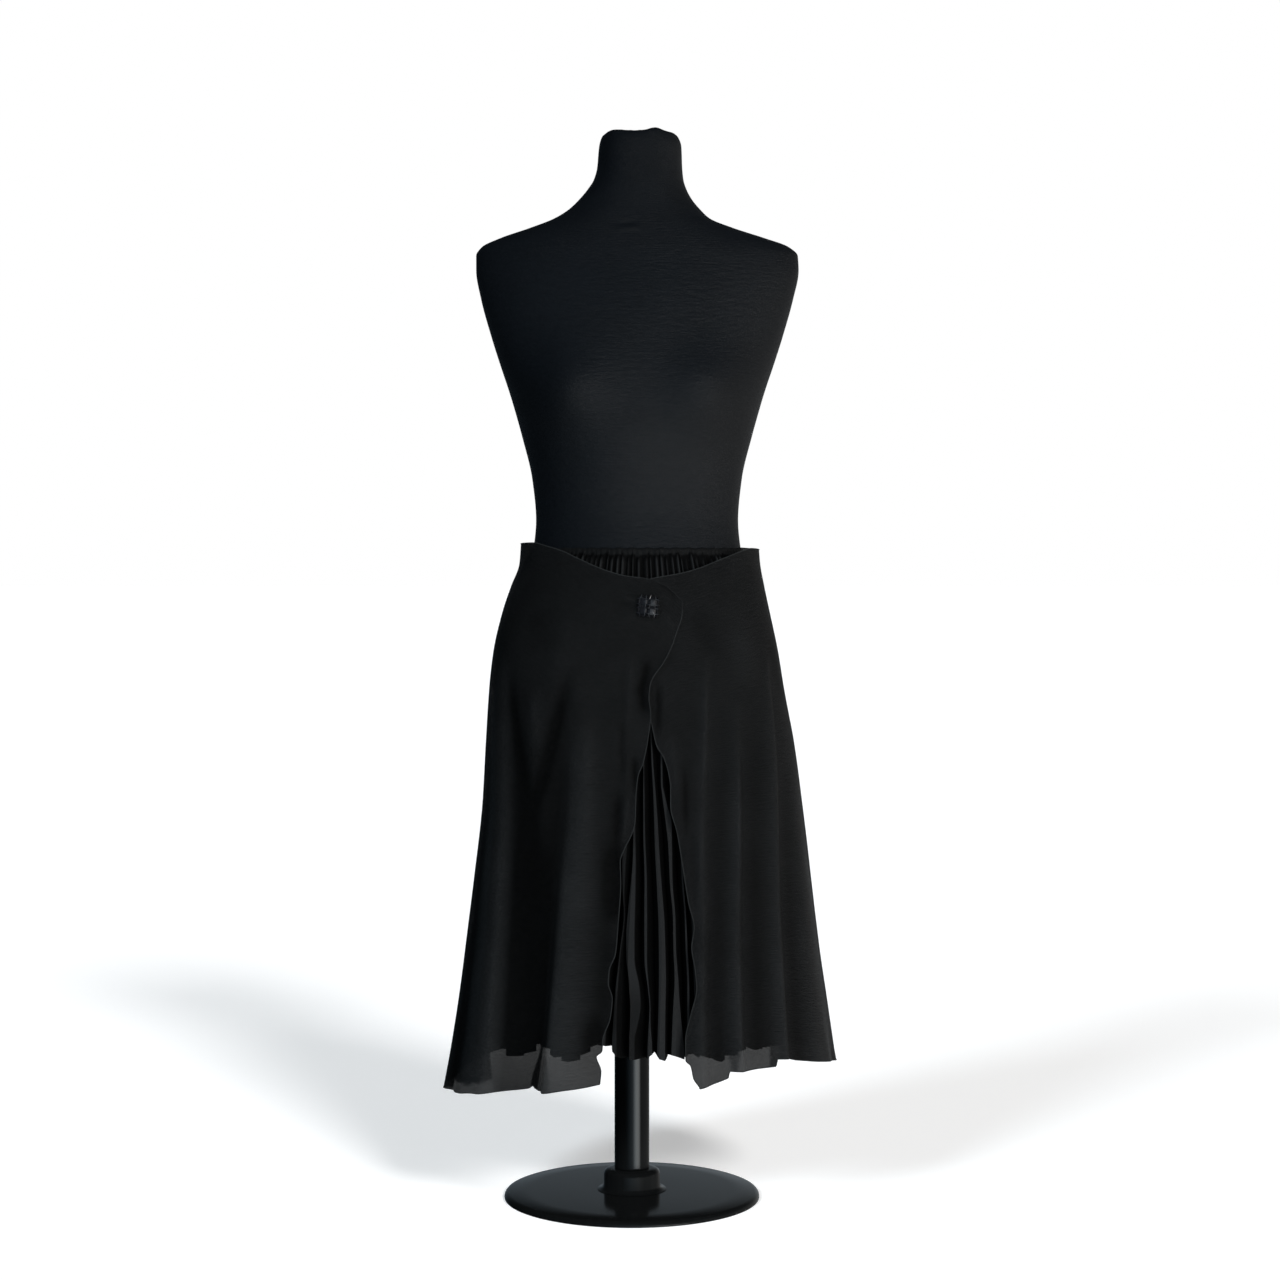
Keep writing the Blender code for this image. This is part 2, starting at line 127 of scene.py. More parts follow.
def foldField(folds, turn, z, growth):
    # each fold: turn where it starts, turn at the hem, half width, how far out, sideways lean, start height
    out, lean = np.zeros_like(z), np.zeros_like(z)
    for startTurn, hemTurn, width, reach, sideways, startZ in folds:
        down = np.clip((startZ - z) / (startZ - foldEnd), 0, 2)
        line = startTurn + (hemTurn - startTurn) * np.minimum(down, 1) ** 0.5
        away = (turn - line + 180) % 360 - 180
        bump = down**growth * np.exp(-((away / width) ** 2))
        out += reach * bump
        lean += sideways * bump
    return out, lean


def clothSheet(name, columns, rows, place, cut, material, wrapped=False):
    # a grid of the cut's size, laid out in UVs as it is cut, with every point put where the cloth hangs
    bm = bmesh.new()
    cutMap = bm.loops.layers.uv.new("cut")
    bmesh.ops.create_grid(bm, x_segments=columns, y_segments=rows, size=0.5)
    bm.verts.index_update()
    flat = np.array([v.co[:2] for v in bm.verts])
    low, high = flat.min(axis=0), flat.max(axis=0)
    u = (flat[:, 0] - low[0]) / (high[0] - low[0])
    v = (high[1] - flat[:, 1]) / (high[1] - low[1])
    for face in bm.faces:
        for loop in face.loops:
            i = loop.vert.index
            loop[cutMap].uv = (u[i] * cut[0], v[i] * cut[1])
    points, tone, doubled = place(u, v)
    # painted shade and light for each point: darker in fold hollows, lighter on crests
    paintedFoldShade = bm.verts.layers.float.new("paintedFoldShade")
    foldLayers = bm.verts.layers.float.new("foldLayers")
    for vert, point, shade, layers in zip(bm.verts, points * mm, np.clip(tone, 0, 4), doubled):
        vert.co = point
        vert[paintedFoldShade] = shade
        vert[foldLayers] = layers
    if wrapped:
        bmesh.ops.remove_doubles(bm, verts=bm.verts, dist=0.00001)
    bm.normal_update()
    facing = sum(f.normal.x * f.calc_center_median().x + f.normal.y * f.calc_center_median().y for f in bm.faces)
    if facing < 0:
        bmesh.ops.reverse_faces(bm, faces=bm.faces)
    area = sum(f.calc_area() for f in bm.faces)
    print(name, len(bm.faces), "faces,", round(area, 4), "square metres of cloth")
    return meshPiece(name, bm, material)


def newObject(name, data):
    made = bpy.data.objects.new(name, data)
    bpy.context.scene.collection.objects.link(made)
    return made


def meshPiece(name, bm, material, smooth=True):
    mesh = bpy.data.meshes.new(name)
    bm.to_mesh(mesh)
    bm.free()
    if smooth:
        mesh.shade_smooth()
    mesh.materials.append(material)
    piece = newObject(name, mesh)
    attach(piece, "root")
    return piece


def giveThickness(piece, thick):
    wall = piece.modifiers.new("cloth thickness", "SOLIDIFY")
    wall.thickness = thick * mm
    wall.offset = -1.0


def rolledEdge(name, lines, radii, material):
    # a rolled hem: round tubes that follow a panel's own edge points, each with its radius in millimetres
    curve = bpy.data.curves.new(name, "CURVE")
    curve.dimensions = "3D"
    curve.bevel_depth = 1.0  # times each point's radius
    curve.bevel_resolution = 2
    curve.use_fill_caps = True
    for line, radius in zip(lines, radii):
        spline = curve.splines.new("POLY")
        spline.points.add(len(line) - 1)
        for point, co, r in zip(spline.points, line, np.broadcast_to(radius, len(line))):
            point.co = (*co * mm, 1.0)
            point.radius = r * mm
    piece = newObject(name, curve)
    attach(piece, "root")
    curve.materials.append(material)
    return piece


# materials

def feed(tree, node, inputs):
    # each input takes a value or another node's output
    for label, value in inputs.items():
        if isinstance(value, bpy.types.NodeSocket):
            tree.links.new(value, node.inputs[label])
        else:
            node.inputs[label].default_value = value
    return node


def addNode(tree, kind, inputs, **settings):
    node = tree.nodes.new("ShaderNode" + kind)
    for label, value in settings.items():
        setattr(node, label, value)
    return feed(tree, node, inputs)


def mathNode(tree, operation, a, b):
    return addNode(tree, "Math", {0: a, 1: b}, operation=operation).outputs[0]


def product(tree, first, *others):
    for other in others:
        first = mathNode(tree, "MULTIPLY", first, other)
    return first


def rangeNode(tree, value, start, end, low, high, **settings):
    inputs = {"Value": value, "From Min": start, "From Max": end, "To Min": low, "To Max": high}
    return addNode(tree, "MapRange", inputs, **settings).outputs["Result"]


def makeClothGrain():
    # woven threads, slubs and slow mottling; the vector is in metres
    group = bpy.data.node_groups.new("clothGrain", "ShaderNodeTree")
    group.interface.new_socket(name="Vector", in_out="INPUT", socket_type="NodeSocketVector")
    for label in ("Thread Scale", "Slub Scale", "Mottle", "Streaks"):
        group.interface.new_socket(name=label, in_out="INPUT", socket_type="NodeSocketFloat")
    for label in ("Height", "Tone"):
        group.interface.new_socket(name=label, in_out="OUTPUT", socket_type="NodeSocketFloat")
    inside, outside = group.nodes.new("NodeGroupInput").outputs, group.nodes.new("NodeGroupOutput").inputs

    def stretched(amounts):
        return addNode(group, "VectorMath", {0: inside["Vector"], 1: amounts}, operation="MULTIPLY").outputs["Vector"]

    def noiseAt(vector, scale, detail, rough=0.5):
        inputs = {"Vector": vector, "Scale": scale, "Detail": detail, "Roughness": rough}
        return addNode(group, "TexNoise", inputs).outputs["Fac"]

    waves = [
        addNode(group, "TexWave", {
            "Vector": inside["Vector"], "Scale": inside["Thread Scale"], "Distortion": 1.2, "Detail": 1.0,
        }, wave_type="BANDS", bands_direction=direction).outputs["Fac"]
        for direction in "XY"
    ]
    slub = noiseAt(stretched((0.35, 1.0, 1.0)), inside["Slub Scale"], 3.0)
    streak = noiseAt(stretched((60.0, 340.0, 1.0)), 1.0, 4.0, 0.65)
    mottle = noiseAt(inside["Vector"], 14.0, 4.0)
    threads = product(group, mathNode(group, "ADD", *waves), 0.5)
    height = mathNode(group, "ADD", product(group, threads, 0.45), slub)
    streaks = product(group, mathNode(group, "SUBTRACT", streak, 0.5), inside["Streaks"])
    group.links.new(mathNode(group, "ADD", height, streaks), outside["Height"])
    patches = mathNode(group, "SUBTRACT", mathNode(group, "ADD", slub, mottle), 1.0)
    group.links.new(mathNode(group, "ADD", product(group, patches, inside["Mottle"]), 1.0), outside["Tone"])
    return group


clothGrain = makeClothGrain()
# the painted fold shade values, from the deepest fold to a stretched crest, and how the roughness changes there
foldRange = {"from": (0.2, 1.8), "to": (0.26, -0.1)}
grainRange = (0.7, 1.3)  # the grain's tones, from an open weave to bunched threads


def newMaterial(name, roughness, metallic=0.0, specular=0.5):
    material = bpy.data.materials.new(name)
    material.use_nodes = True
    tree = material.node_tree
    shader = tree.nodes["Principled BSDF"]
    feed(tree, shader, {"Roughness": roughness, "Metallic": metallic, "Specular IOR Level": specular})
    return material, tree, shader


def clothMaterial(settings):
    material, tree, shader = newMaterial(settings["name"], settings["roughness"], specular=settings["specular"])
    inputs = {"Sheen Weight": settings["sheen"], "Sheen Roughness": settings["sheenRoughness"]}
    grain = addNode(tree, "Group", {
        "Vector": addNode(tree, "TexCoord", {}).outputs[settings["pattern"]], "Thread Scale": settings["threads"],
        "Slub Scale": settings["slubs"], "Mottle": settings["mottle"], "Streaks": settings["streaks"],
    }, node_tree=clothGrain).outputs
    tone = grain["Tone"]
    if settings["folds"]:
        # painted shade and light: the colour is darkened in deep folds and lightened on crests; deep folds are also
        # matt and stretched crests are smoother
        folds = addNode(tree, "Attribute", {}, attribute_name="paintedFoldShade").outputs["Fac"]
        tone = product(tree, tone, folds)
        ends = [settings["roughness"] + change for change in foldRange["to"]]
        inputs["Roughness"] = rangeNode(tree, folds, *foldRange["from"], *ends)
    colour = {"Factor": 1.0, "A": (*settings["colour"], 1.0), "B": tone}
    inputs["Base Color"] = addNode(tree, "Mix", colour, data_type="RGBA", blend_type="MULTIPLY").outputs["Result"]
    bump = {"Strength": settings["bump"], "Distance": settings["bumpDepth"] * mm, "Height": grain["Height"]}
    inputs["Normal"] = addNode(tree, "Bump", bump).outputs["Normal"]
    if settings.get("cover"):
        # open weave: thicker where the threads bunch up, and closed where the hem lies double
        cover = rangeNode(tree, grain["Tone"], *grainRange, *settings["cover"])
        layers = addNode(tree, "Attribute", {}, attribute_name="foldLayers").outputs["Fac"]
        openings = product(tree, mathNode(tree, "SUBTRACT", 1.0, cover), mathNode(tree, "SUBTRACT", 1.0, layers))
        inputs["Alpha"] = mathNode(tree, "SUBTRACT", 1.0, openings)
    feed(tree, shader, inputs)
    return material


charcoalJersey = clothMaterial({
    "name": "charcoalJersey", "folds": False, "colour": (0.0036, 0.0047, 0.0062), "roughness": 0.47, "specular": 0.5,
    "sheen": 0.0, "sheenRoughness": 0.45, "pattern": "UV", "threads": 420.0, "slubs": 330.0,
    "mottle": 0.5, "bump": 0.7, "bumpDepth": 0.5, "streaks": 2.2,
})
blackCrepe = clothMaterial({
    "name": "blackCrepe", "folds": True, "colour": (0.0045, 0.0048, 0.005), "roughness": 0.5, "specular": 0.25,
    "sheen": 0.0, "sheenRoughness": 0.4, "pattern": "UV", "threads": 800.0, "slubs": 500.0,
    "mottle": 0.4, "bump": 0.4, "bumpDepth": 0.15, "streaks": 0.0,
})
blackChiffon = clothMaterial({
    "name": "blackChiffon", "folds": True, "colour": (0.0050, 0.0054, 0.0057), "roughness": 0.46, "specular": 0.4,
    "sheen": 0.0, "sheenRoughness": 0.45, "pattern": "UV", "threads": 700.0, "slubs": 420.0,
    "mottle": 0.8, "bump": 0.8, "bumpDepth": 0.45, "streaks": 6.0, "cover": (0.95, 0.975),
})
# rolled hems and the button's thread: the same black chiffon, but lighter in colour, a painted highlight along the
# edges
rolledChiffonPaintedHighlight = clothMaterial({
    "name": "rolledChiffonPaintedHighlight", "folds": False, "colour": (0.018, 0.0195, 0.02), "roughness": 0.6, "specular": 0.25,
    "sheen": 0.05, "sheenRoughness": 0.4, "pattern": "Object", "threads": 500.0, "slubs": 600.0,
    "mottle": 0.6, "bump": 0.5, "bumpDepth": 0.2, "streaks": 0.0,
})


def hardMaterial(settings):
    # metal or stone whose colour varies through a noise, with its scale along each axis
    material, tree, shader = newMaterial(
        settings["name"], settings["roughness"], settings.get("metallic", 0.0), settings.get("specular", 0.5))
    where = addNode(tree, "TexCoord", {}).outputs["Object"]
    stretch = addNode(tree, "Mapping", {"Vector": where, "Scale": settings["scale"]}).outputs["Vector"]
    inputs = {"Vector": stretch, "Scale": 1.0, "Detail": settings.get("detail", 2.0)}
    cloud = addNode(tree, "TexNoise", inputs).outputs["Fac"]
    dark, light = [(*colour, 1.0) for colour in settings["colours"]]
    colour = addNode(tree, "Mix", {"Factor": cloud, "A": dark, "B": light}, data_type="RGBA").outputs["Result"]
    feed(tree, shader, {"Coat Weight": settings.get("coat", 0.0), "Base Color": colour})
    if "rubbed" in settings:
        feed(tree, shader, {"Roughness": rangeNode(tree, cloud, 0.0, 1.0, *settings["rubbed"])})
    return material


blackSteel = hardMaterial({
    "name": "blackSteel", "roughness": 0.22, "metallic": 0.85, "rubbed": (0.1, 0.2), "scale": (160.0, 160.0, 6.0),
    "detail": 5.0, "colours": ((0.02, 0.022, 0.023), (0.04, 0.043, 0.044)),
})
gunmetal = hardMaterial({
    "name": "gunmetal", "roughness": 0.3, "metallic": 1.0, "scale": (700.0, 700.0, 700.0),
    "colours": ((0.012, 0.0125, 0.014), (0.06, 0.06, 0.064)),
})
jetStone = hardMaterial({
    "name": "jetStone", "roughness": 0.04, "specular": 0.8, "coat": 0.4, "scale": (300.0, 300.0, 300.0),
    "colours": ((0.004, 0.004, 0.005), (0.014, 0.015, 0.018)),
})
print("materials made")

# dress form

formBody = {
    "rows": [
        (1244, 36, 44, 40, 40), (1240, 41, 48, 45, 45), (1230, 44, 51.5, 48, 48),
        (1205, 46.5, 52.5, 50, 51), (1191, 50.5, 54, 52, 55), (1180, 57.5, 57.5, 54, 59),
        (1168, 67.5, 64, 57, 64), (1156, 80, 74, 60, 69), (1145, 98, 86, 63, 74),
        (1134, 127, 114, 67, 79), (1123, 160, 149, 70, 84), (1113, 181, 177, 73, 88),
        (1103, 187.5, 187.5, 77, 92), (1086, 187.5, 188.5, 82, 98), (1053, 182, 182, 92, 104),
        (1006, 169, 169, 101, 107), (975, 159, 159, 105, 105), (945, 149, 149, 107, 102),
        (920, 141.5, 141.5, 105, 97), (895, 134.5, 134.5, 100, 91), (842, 122, 122, 88, 83),
        (796, 118, 118, 83, 82), (763, 121, 121, 86, 88), (718, 136, 136, 93, 103),
        (660, 152, 152, 101, 118), (608, 159, 159, 105, 124), (560, 160, 160, 102, 119),
        (530, 157, 157, 97, 112), (524, 154, 154, 94, 108), (520, 149, 149, 89, 103),
    ],
    "columns": 168, "lines": 230,
    "bust": {"x": 84.0, "z": 944.0, "width": 44.0, "depth": 19.0},
    "softSteps": (-22, -14, -7, 0, 7, 14, 22),  # heights that front and back are averaged over
    "softBelow": (1225, 1195),  # where that fades in, and out again
    "softAbove": (540, 570), "frontFade": (0, -20), "capShare": 0.045, "capMiddles": (1236, 522),
    "neckMiddle": 3.0, "gathers": 17, "gatherHeight": 1.3, "rimRise": (1225, 1243),
    "unevenness": (0.35, 60.0),  # how much, and the size of its features
    # a small knob of gathered jersey low on the neck's front: x, z, half width, half height, out
    "neckMarks": [(-4, 1134, 8, 3.2, -2), (-6, 1127.5, 10, 3.6, 2.2)],
    # soft bumps of the gathered rim: x, half width, how high
    "rimBumps": [(-22, 9, 1.6), (28, 8, 3), (4, 12, -1.2)],
}


def placeForm(u, v):
    s = formBody
    turn = u * 360.0 - 180.0
    heights = [row[0] for row in s["rows"]]
    cap = s["capShare"]
    inside = np.clip((v - cap) / (1 - 2 * cap), 0, 1)
    z = smoothLine([(k / (len(heights) - 1), height) for k, height in enumerate(heights)], inside)
    points = aroundForm(s["rows"], turn, z)
    # the front and the back run smoothly from chest to neck, and only the sides keep the shoulder's corner
    soft = np.mean([aroundForm(s["rows"], turn, z + step)[:, :2] for step in s["softSteps"]], axis=0)
    share = np.cos(np.radians(turn)) ** 2 * softStep(*s["softBelow"], z) * softStep(*s["softAbove"], z)
    points[:, :2] += (soft - points[:, :2]) * share[:, None]
    bust = s["bust"]
    awayZ = (z - bust["z"]) / bust["width"]
    for side in (-1, 1):
        awayX = (points[:, 0] - formShift - side * bust["x"]) / bust["width"]
        points[:, 1] -= softStep(*s["frontFade"], points[:, 1]) * bust["depth"] * np.exp(-(awayX**2) - awayZ**2)
    for x, markZ, width, height, out in s["neckMarks"]:
        away = ((points[:, 0] - x) / width) ** 2 + ((z - markZ) / height) ** 2
        points[:, 1] -= np.where(points[:, 1] < 0, out * np.exp(-away), 0)
    for x, width, high in s["rimBumps"]:
        points[:, 2] += high * np.exp(-(((points[:, 0] - x) / width) ** 2)) * softStep(*s["rimRise"], z)
    # the jersey is drawn in over both ends, in gathers that meet in the middle
    for fromEnd, centreZ, sink in zip((v, 1 - v), s["capMiddles"], (1, -1)):
        share = np.clip(fromEnd / cap, 0, 1)
        middle = np.array([formShift + (s["neckMiddle"] if sink > 0 else 0.0), 0.0])
        points[:, :2] = middle + (points[:, :2] - middle) * share[:, None]
        bowl = (1 - share) ** 1.5
        points[:, 2] += (centreZ - points[:, 2]) * bowl
        ruck = np.sin(np.radians(turn) * s["gathers"] + 2.0 * np.sin(np.radians(turn) * 3))
        points[:, 2] += sink * s["gatherHeight"] * ruck * share * (1 - share) * 4 * (share < 1)
    amount, size = s["unevenness"]
    points += amount * uneven(points, size, 1)[:, None] * np.array([1, 1, 0])
    return points, np.ones(len(points)), np.zeros(len(points))


s = formBody
formPiece = clothSheet("formTorso", s["columns"], s["lines"], placeForm, (0.92, 0.78), charcoalJersey, wrapped=True)
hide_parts("dress_form")
print("dress form made")

# stand


def turnedPiece(name, profile, steps, material):
    # spins a half section of (radius, height) points round the pole's axis
    bm = bmesh.new()
    verts = [bm.verts.new((r * mm, 0.0, z * mm)) for r, z in profile]
    edges = [bm.edges.new(pair) for pair in zip(verts, verts[1:])]
    bmesh.ops.spin(bm, geom=verts + edges, cent=(0, 0, 0), axis=(0, 0, 1), dvec=(0, 0, 0),
                   angle=2 * math.pi, steps=steps, use_merge=True)
    bmesh.ops.remove_doubles(bm, verts=bm.verts, dist=0.000001)
    bmesh.ops.recalc_face_normals(bm, faces=bm.faces)
    rims = [e for e in bm.edges if len(e.link_faces) == 2 and e.calc_face_angle(0) > 0.6]
    bmesh.ops.bevel(bm, geom=rims, offset=0.0007, offset_type="OFFSET", affect="EDGES", segments=2,
                    profile=0.5, material=-1, clamp_overlap=True)
    return meshPiece(name, bm, material)


stand = {
    # the rings close to both ends keep the shading of the long wall straight
    "pole": [(0, 513.4), (20.5, 513.4), (20.5, 511), (20.5, 36.7), (20.5, 34.3), (0, 34.3)],
    "flange": [(0, 519.7), (45, 519.7), (45, 513.7), (0, 513.7)],
    "collar": [(0, 34), (23, 34), (29, 33.4), (32, 31), (33, 28), (33, 14), (34.5, 11.5), (38, 9.8), (41, 9.3),
               (0, 9.3)],
    "base": [(0, 9), (60, 8.8), (120, 8.2), (144, 7.4), (148, 6), (149.6, 4), (150, 2), (150, 0), (0, 0)],
}
for part, profile in stand.items():
    piece = turnedPiece("stand" + part.title(), profile, 120, blackSteel)
    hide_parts("stand_" + part)
print("stand made")

# pleated underskirt

underskirt = {
    "rows": [
        (720, 140.5, 140.5, 97.5, 107.3), (690, 149.5, 149.5, 103, 116.3), (660, 158, 158, 107.5, 124.5),
        (608, 164, 164, 110.5, 129.5), (560, 166, 167, 113, 131), (468, 172, 177, 122, 138),
        (380, 181, 187, 133, 150), (292, 190, 197, 144, 162), (188, 200, 208, 157, 175),
    ],
    "pleats": 38, "columnsPerPleat": 8, "lines": 84, "top": 714.2, "hem": 189.0,
    # height of the lower edge round the front and the back, by turn
    "hemLine": [(-90, 200), (-60, 199), (-55, 206), (-51, 196), (-44, 187), (-38, 194), (-32.6, 206), (-29, 196),
                (-25, 190), (-21, 187), (-19.2, 196), (-18.2, 206), (-17.4, 196), (-14, 204), (-11, 206), (-6.3, 205),
                (-4.3, 193), (1.9, 192), (4.7, 198), (8.2, 191), (9.7, 197), (13.6, 191), (15.4, 197), (19, 194),
                (24, 190), (27, 186), (31, 192), (36, 196), (38, 205), (40, 196), (46, 197), (60, 199),
                (90, 200), (102, 197), (115, 201), (128, 193), (133, 198), (146, 190), (155, 195), (161, 188),
                (175, 190), (190, 187), (199, 194), (214, 191), (228, 198), (237, 193), (250, 201), (261, 197),
                (270, 200)],
    "hemZigzag": -1.2,
    # crests seen in the opening, by number: height, distance from the middle line and the crest's width
    "crests": {
        35: [(470, -12, 2), (431, -12.6, 3), (399, -15.1, 3), (370, -15.1, 1.5), (345, -14, 0.8),
             (300, -19, 0.8), (250, -24, 1.2), (200, -27, 4)],
        37: [(446, -3.9, 2.5), (419, -3.9, 3), (382, -6.4, 5), (357, -8.9, 6.5), (325, -11.3, 7.5),
             (300, -11.3, 7.5), (271, -7.6, 9), (246, -5.2, 8), (214, -7.6, 4)],
        39: [(503, 7.2, 1.5), (444, 7.2, 2.5), (382, 8.9, 3), (300, 8.9, 2.5), (263, 12.6, 1.2), (246, 14.1, 1.2),
             (225, 13.5, 3), (200, 12.6, 8)],
        41: [(560, 15.1, 1.2), (518, 17.1, 2), (481, 19.6, 3), (419, 22, 4), (370, 25, 5),
             (333, 27, 5.5), (295, 27.5, 6), (246, 25.7, 7), (197, 24, 8)],
        43: [(493, 27, 1.5), (469, 30.7, 4), (455, 33.5, 6), (425, 36, 3.5), (382, 37.4, 2.7),
             (345, 40.6, 2.5), (308, 41.3, 2.7), (271, 43.1, 4), (234, 42.6, 8), (197, 43.1, 12)],
    },
    # crests whose painted light gives way to painted shade lower down: heights where that starts and ends, and how
    # much they lose
    "paintedDimming": {35: (290, 230, 0.4), 37: (300, 240, 0.6)},
    "outward": [(720, 1.6), (608, 2.4), (468, 4.4), (188, 6.4)],
    "inward": [(720, 1.6), (608, 3), (530, 5), (468, 8.5), (188, 12.5)],
    # painted shade on the flanks and painted light on the crests
    "flankPaintedShade": 0.2, "crestPaintedLight": 2.2,
    "paintedLightShare": (0.93, 0.99),  # how far up the flank the crest's tone starts and is full
    "paintedLightBelow": 60, "ridgeShift": -0.2,
    "drift": 0.2,  # how far a fold line strays, as a share of a pleat
    "topDrift": 0.35,  # its share at the waist
    "settle": 90,  # length below the waist where crests reach their places
    "neighbours": ((2, 0.6), (4, 0.25)),  # how far the next ridges follow the placed ones
    "deepness": (0.8, 1.12), "crestTop": (1.0, 2.6), "crestSpread": (0.5, 6.0),
    "crestShare": (0.04, 0.8),
    "flankWidth": (5.3, 2.5),  # at the waist, and how much more at the hem
    "columnsAt": (0, 0.25, 0.5, 0.75),  # the grid's columns across a flank
    "columnsTo": (0, 0.55, 0.92, 1.0),  # and where they lie on it
    "flankPower": 1.15, "rowPower": 1.05,
    "sway": ((95.0, 0.0), (47.0, 1.7)),  # wave lengths and phases of the slow sway
    "swayTurn": 0.8, "dip": 0.8, "flare": 2.5, "thickness": 0.5,
}


def evenTurns(rows, z, first, last, count):
    turns = np.linspace(first, last, 1441)
    points = aroundForm(rows, turns, np.full_like(turns, z))
    length = np.concatenate([[0], np.cumsum(np.linalg.norm(np.diff(points, axis=0), axis=1))])
    return np.interp(np.linspace(0, length[-1], count + 1), length, turns)


def placePleats(first, last, seed, crests):
    s = underskirt
    random = np.random.default_rng(seed)
    count = 2 * s["pleats"]
    turns = evenTurns(s["rows"], s["hem"], first, last, count)
    pitch = (last - first) / s["pleats"]
    drift = random.uniform(-s["drift"], s["drift"], count + 1) * pitch
    drift[1::2] += s["ridgeShift"] * pitch
    drift[0] = drift[-1] = 0.0
    deep = random.uniform(*s["deepness"], count + 1)
    sway = random.uniform(-1, 1, (count + 1, 3))
    dip = random.uniform(-1, 1, count + 1)
    narrow, spread = random.uniform(*s["crestTop"], count + 1), random.uniform(*s["crestSpread"], count + 1)
    if crests:
        sway[min(crests) - 1 : max(crests) + 2, :2] *= 0.15

    def place(u, v):
        j = np.clip(u * count, 0, count)
        k = np.minimum(j.astype(int), count - 1)
        f = j - k
        odd = k % 2 == 1
        ridge = np.where(odd, k, k + 1)
        z = s["top"] + (s["hem"] - s["top"]) * v ** s["rowPower"]
        grown = np.clip((s["top"] - z) / (s["top"] - s["hem"]), 0, 1)
        strayed = s["topDrift"] + (1 - s["topDrift"]) * grown
        width = narrow[ridge] + spread[ridge] * grown**2
        shift = np.zeros((count + 1, len(z)))
        for n, rows in crests.items():
            width = np.where(ridge == n, smoothLine([(row[0], row[2]) for row in rows], z), width)
            wanted = turnAtX(s["rows"], z, smoothLine([(row[0], row[1]) for row in rows], z))
            shift[n] = (wanted - turns[n] - drift[n] * strayed) * softStep(s["top"], s["top"] - s["settle"], z)
        if crests:
            lowest, highest = min(crests), max(crests)
            for away, share in s["neighbours"]:
                shift[lowest - away], shift[highest + away] = share * shift[lowest], share * shift[highest]
            for n in range(lowest - 5, highest + 6, 2):
                shift[n] = 0.5 * (shift[n - 1] + shift[n + 1])
        # the grid's lines gather at both ends of the flat crest, so that its edges stay sharp
        crest = np.clip(0.5 * width / (s["flankWidth"][0] + s["flankWidth"][1] * grown), *s["crestShare"])
        local = np.where(odd, 1 - f, f)
        foot = s["columnsAt"][-1]
        zigzag = np.where(local < foot, np.interp(local, s["columnsAt"], s["columnsTo"]) * (1 - crest),
                          1 - crest + crest * (local - foot) / (1 - foot))
        f = np.where(odd, 1 - zigzag, zigzag)

        def blend(values):
            return values[k] * (1 - f) + values[k + 1] * f

        plain = blend(turns)
        hem = smoothLine(s["hemLine"], plain) - s["hemZigzag"] * (zigzag - 0.5) + s["dip"] * blend(dip)
        z = s["top"] + (hem - s["top"]) * v ** s["rowPower"]
        at = np.arange(len(z))
        turn = plain + blend(drift) * strayed + shift[k, at] * (1 - f) + shift[k + 1, at] * f
        wander = sum(blend(sway[:, n]) * np.sin(z / wave + phase) for n, (wave, phase) in enumerate(s["sway"]))
        turn = turn + s["swayTurn"] * wander * grown**1.5
        # a flat crest that catches the light, and flanks that fall steeply into the fold
        rise = 1 - (1 - np.clip(zigzag / (1 - crest), 0, 1)) ** s["flankPower"]
        deepness = 1 + (blend(deep) - 1) * grown
        outward, inward = smoothLine(s["outward"], z), smoothLine(s["inward"], z)
        out = (rise * (outward + inward) - inward) * deepness
        flare = s["flare"] * blend(sway[:, 2]) * grown**3
        points = aroundForm(s["rows"], turn, z, out + flare)
        # painted light along each crest, coming in below the waist; the flanks keep their painted shade
        paintedLight = softStep(*s["paintedLightShare"], zigzag / (1 - crest)) * softStep(s["top"], s["top"] - s["paintedLightBelow"], z)
        for n, (highZ, lowZ, share) in s["paintedDimming"].items() if crests else ():
            paintedLight = paintedLight * (1 - share * (ridge == n) * softStep(highZ, lowZ, z))
        return points, s["flankPaintedShade"] + (s["crestPaintedLight"] - s["flankPaintedShade"]) * paintedLight, 0 * z

    return place


for name, node, first, last, seed, crests in (
    ("pleatsFront", "pleated_front", -90.0, 90.0, 11, underskirt["crests"]),
    ("pleatsBack", "pleated_back", 90.0, 270.0, 12, {}),
):
    s = underskirt
    place = placePleats(first, last, seed, crests)
    piece = clothSheet(name, s["pleats"] * s["columnsPerPleat"], s["lines"], place, (1.67, 0.53), blackCrepe)
    piece.data.shade_flat()
    giveThickness(piece, s["thickness"])
    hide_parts(node)
print("pleats made")

# gathered waistband

waistband = {
    "gathers": 112, "columnsPerGather": 8, "lines": 22, "top": 763.0, "bottom": 715.0,
    "ring": 740,  # the height whose way round is shared out evenly
    "clear": 1.4, "casing": 5.5, "casingRoll": 0.7, "stitchDip": -0.6, "depth": 4.6, "drift": 0.48,
    # the last two are painted shade in the hollows between gathers and painted light on their ridges
    "tall": (0.35, 1.15), "late": (0.0, 0.35), "thickness": 0.5, "flankPaintedShade": 0.2, "crestPaintedLight": 3.4,
}


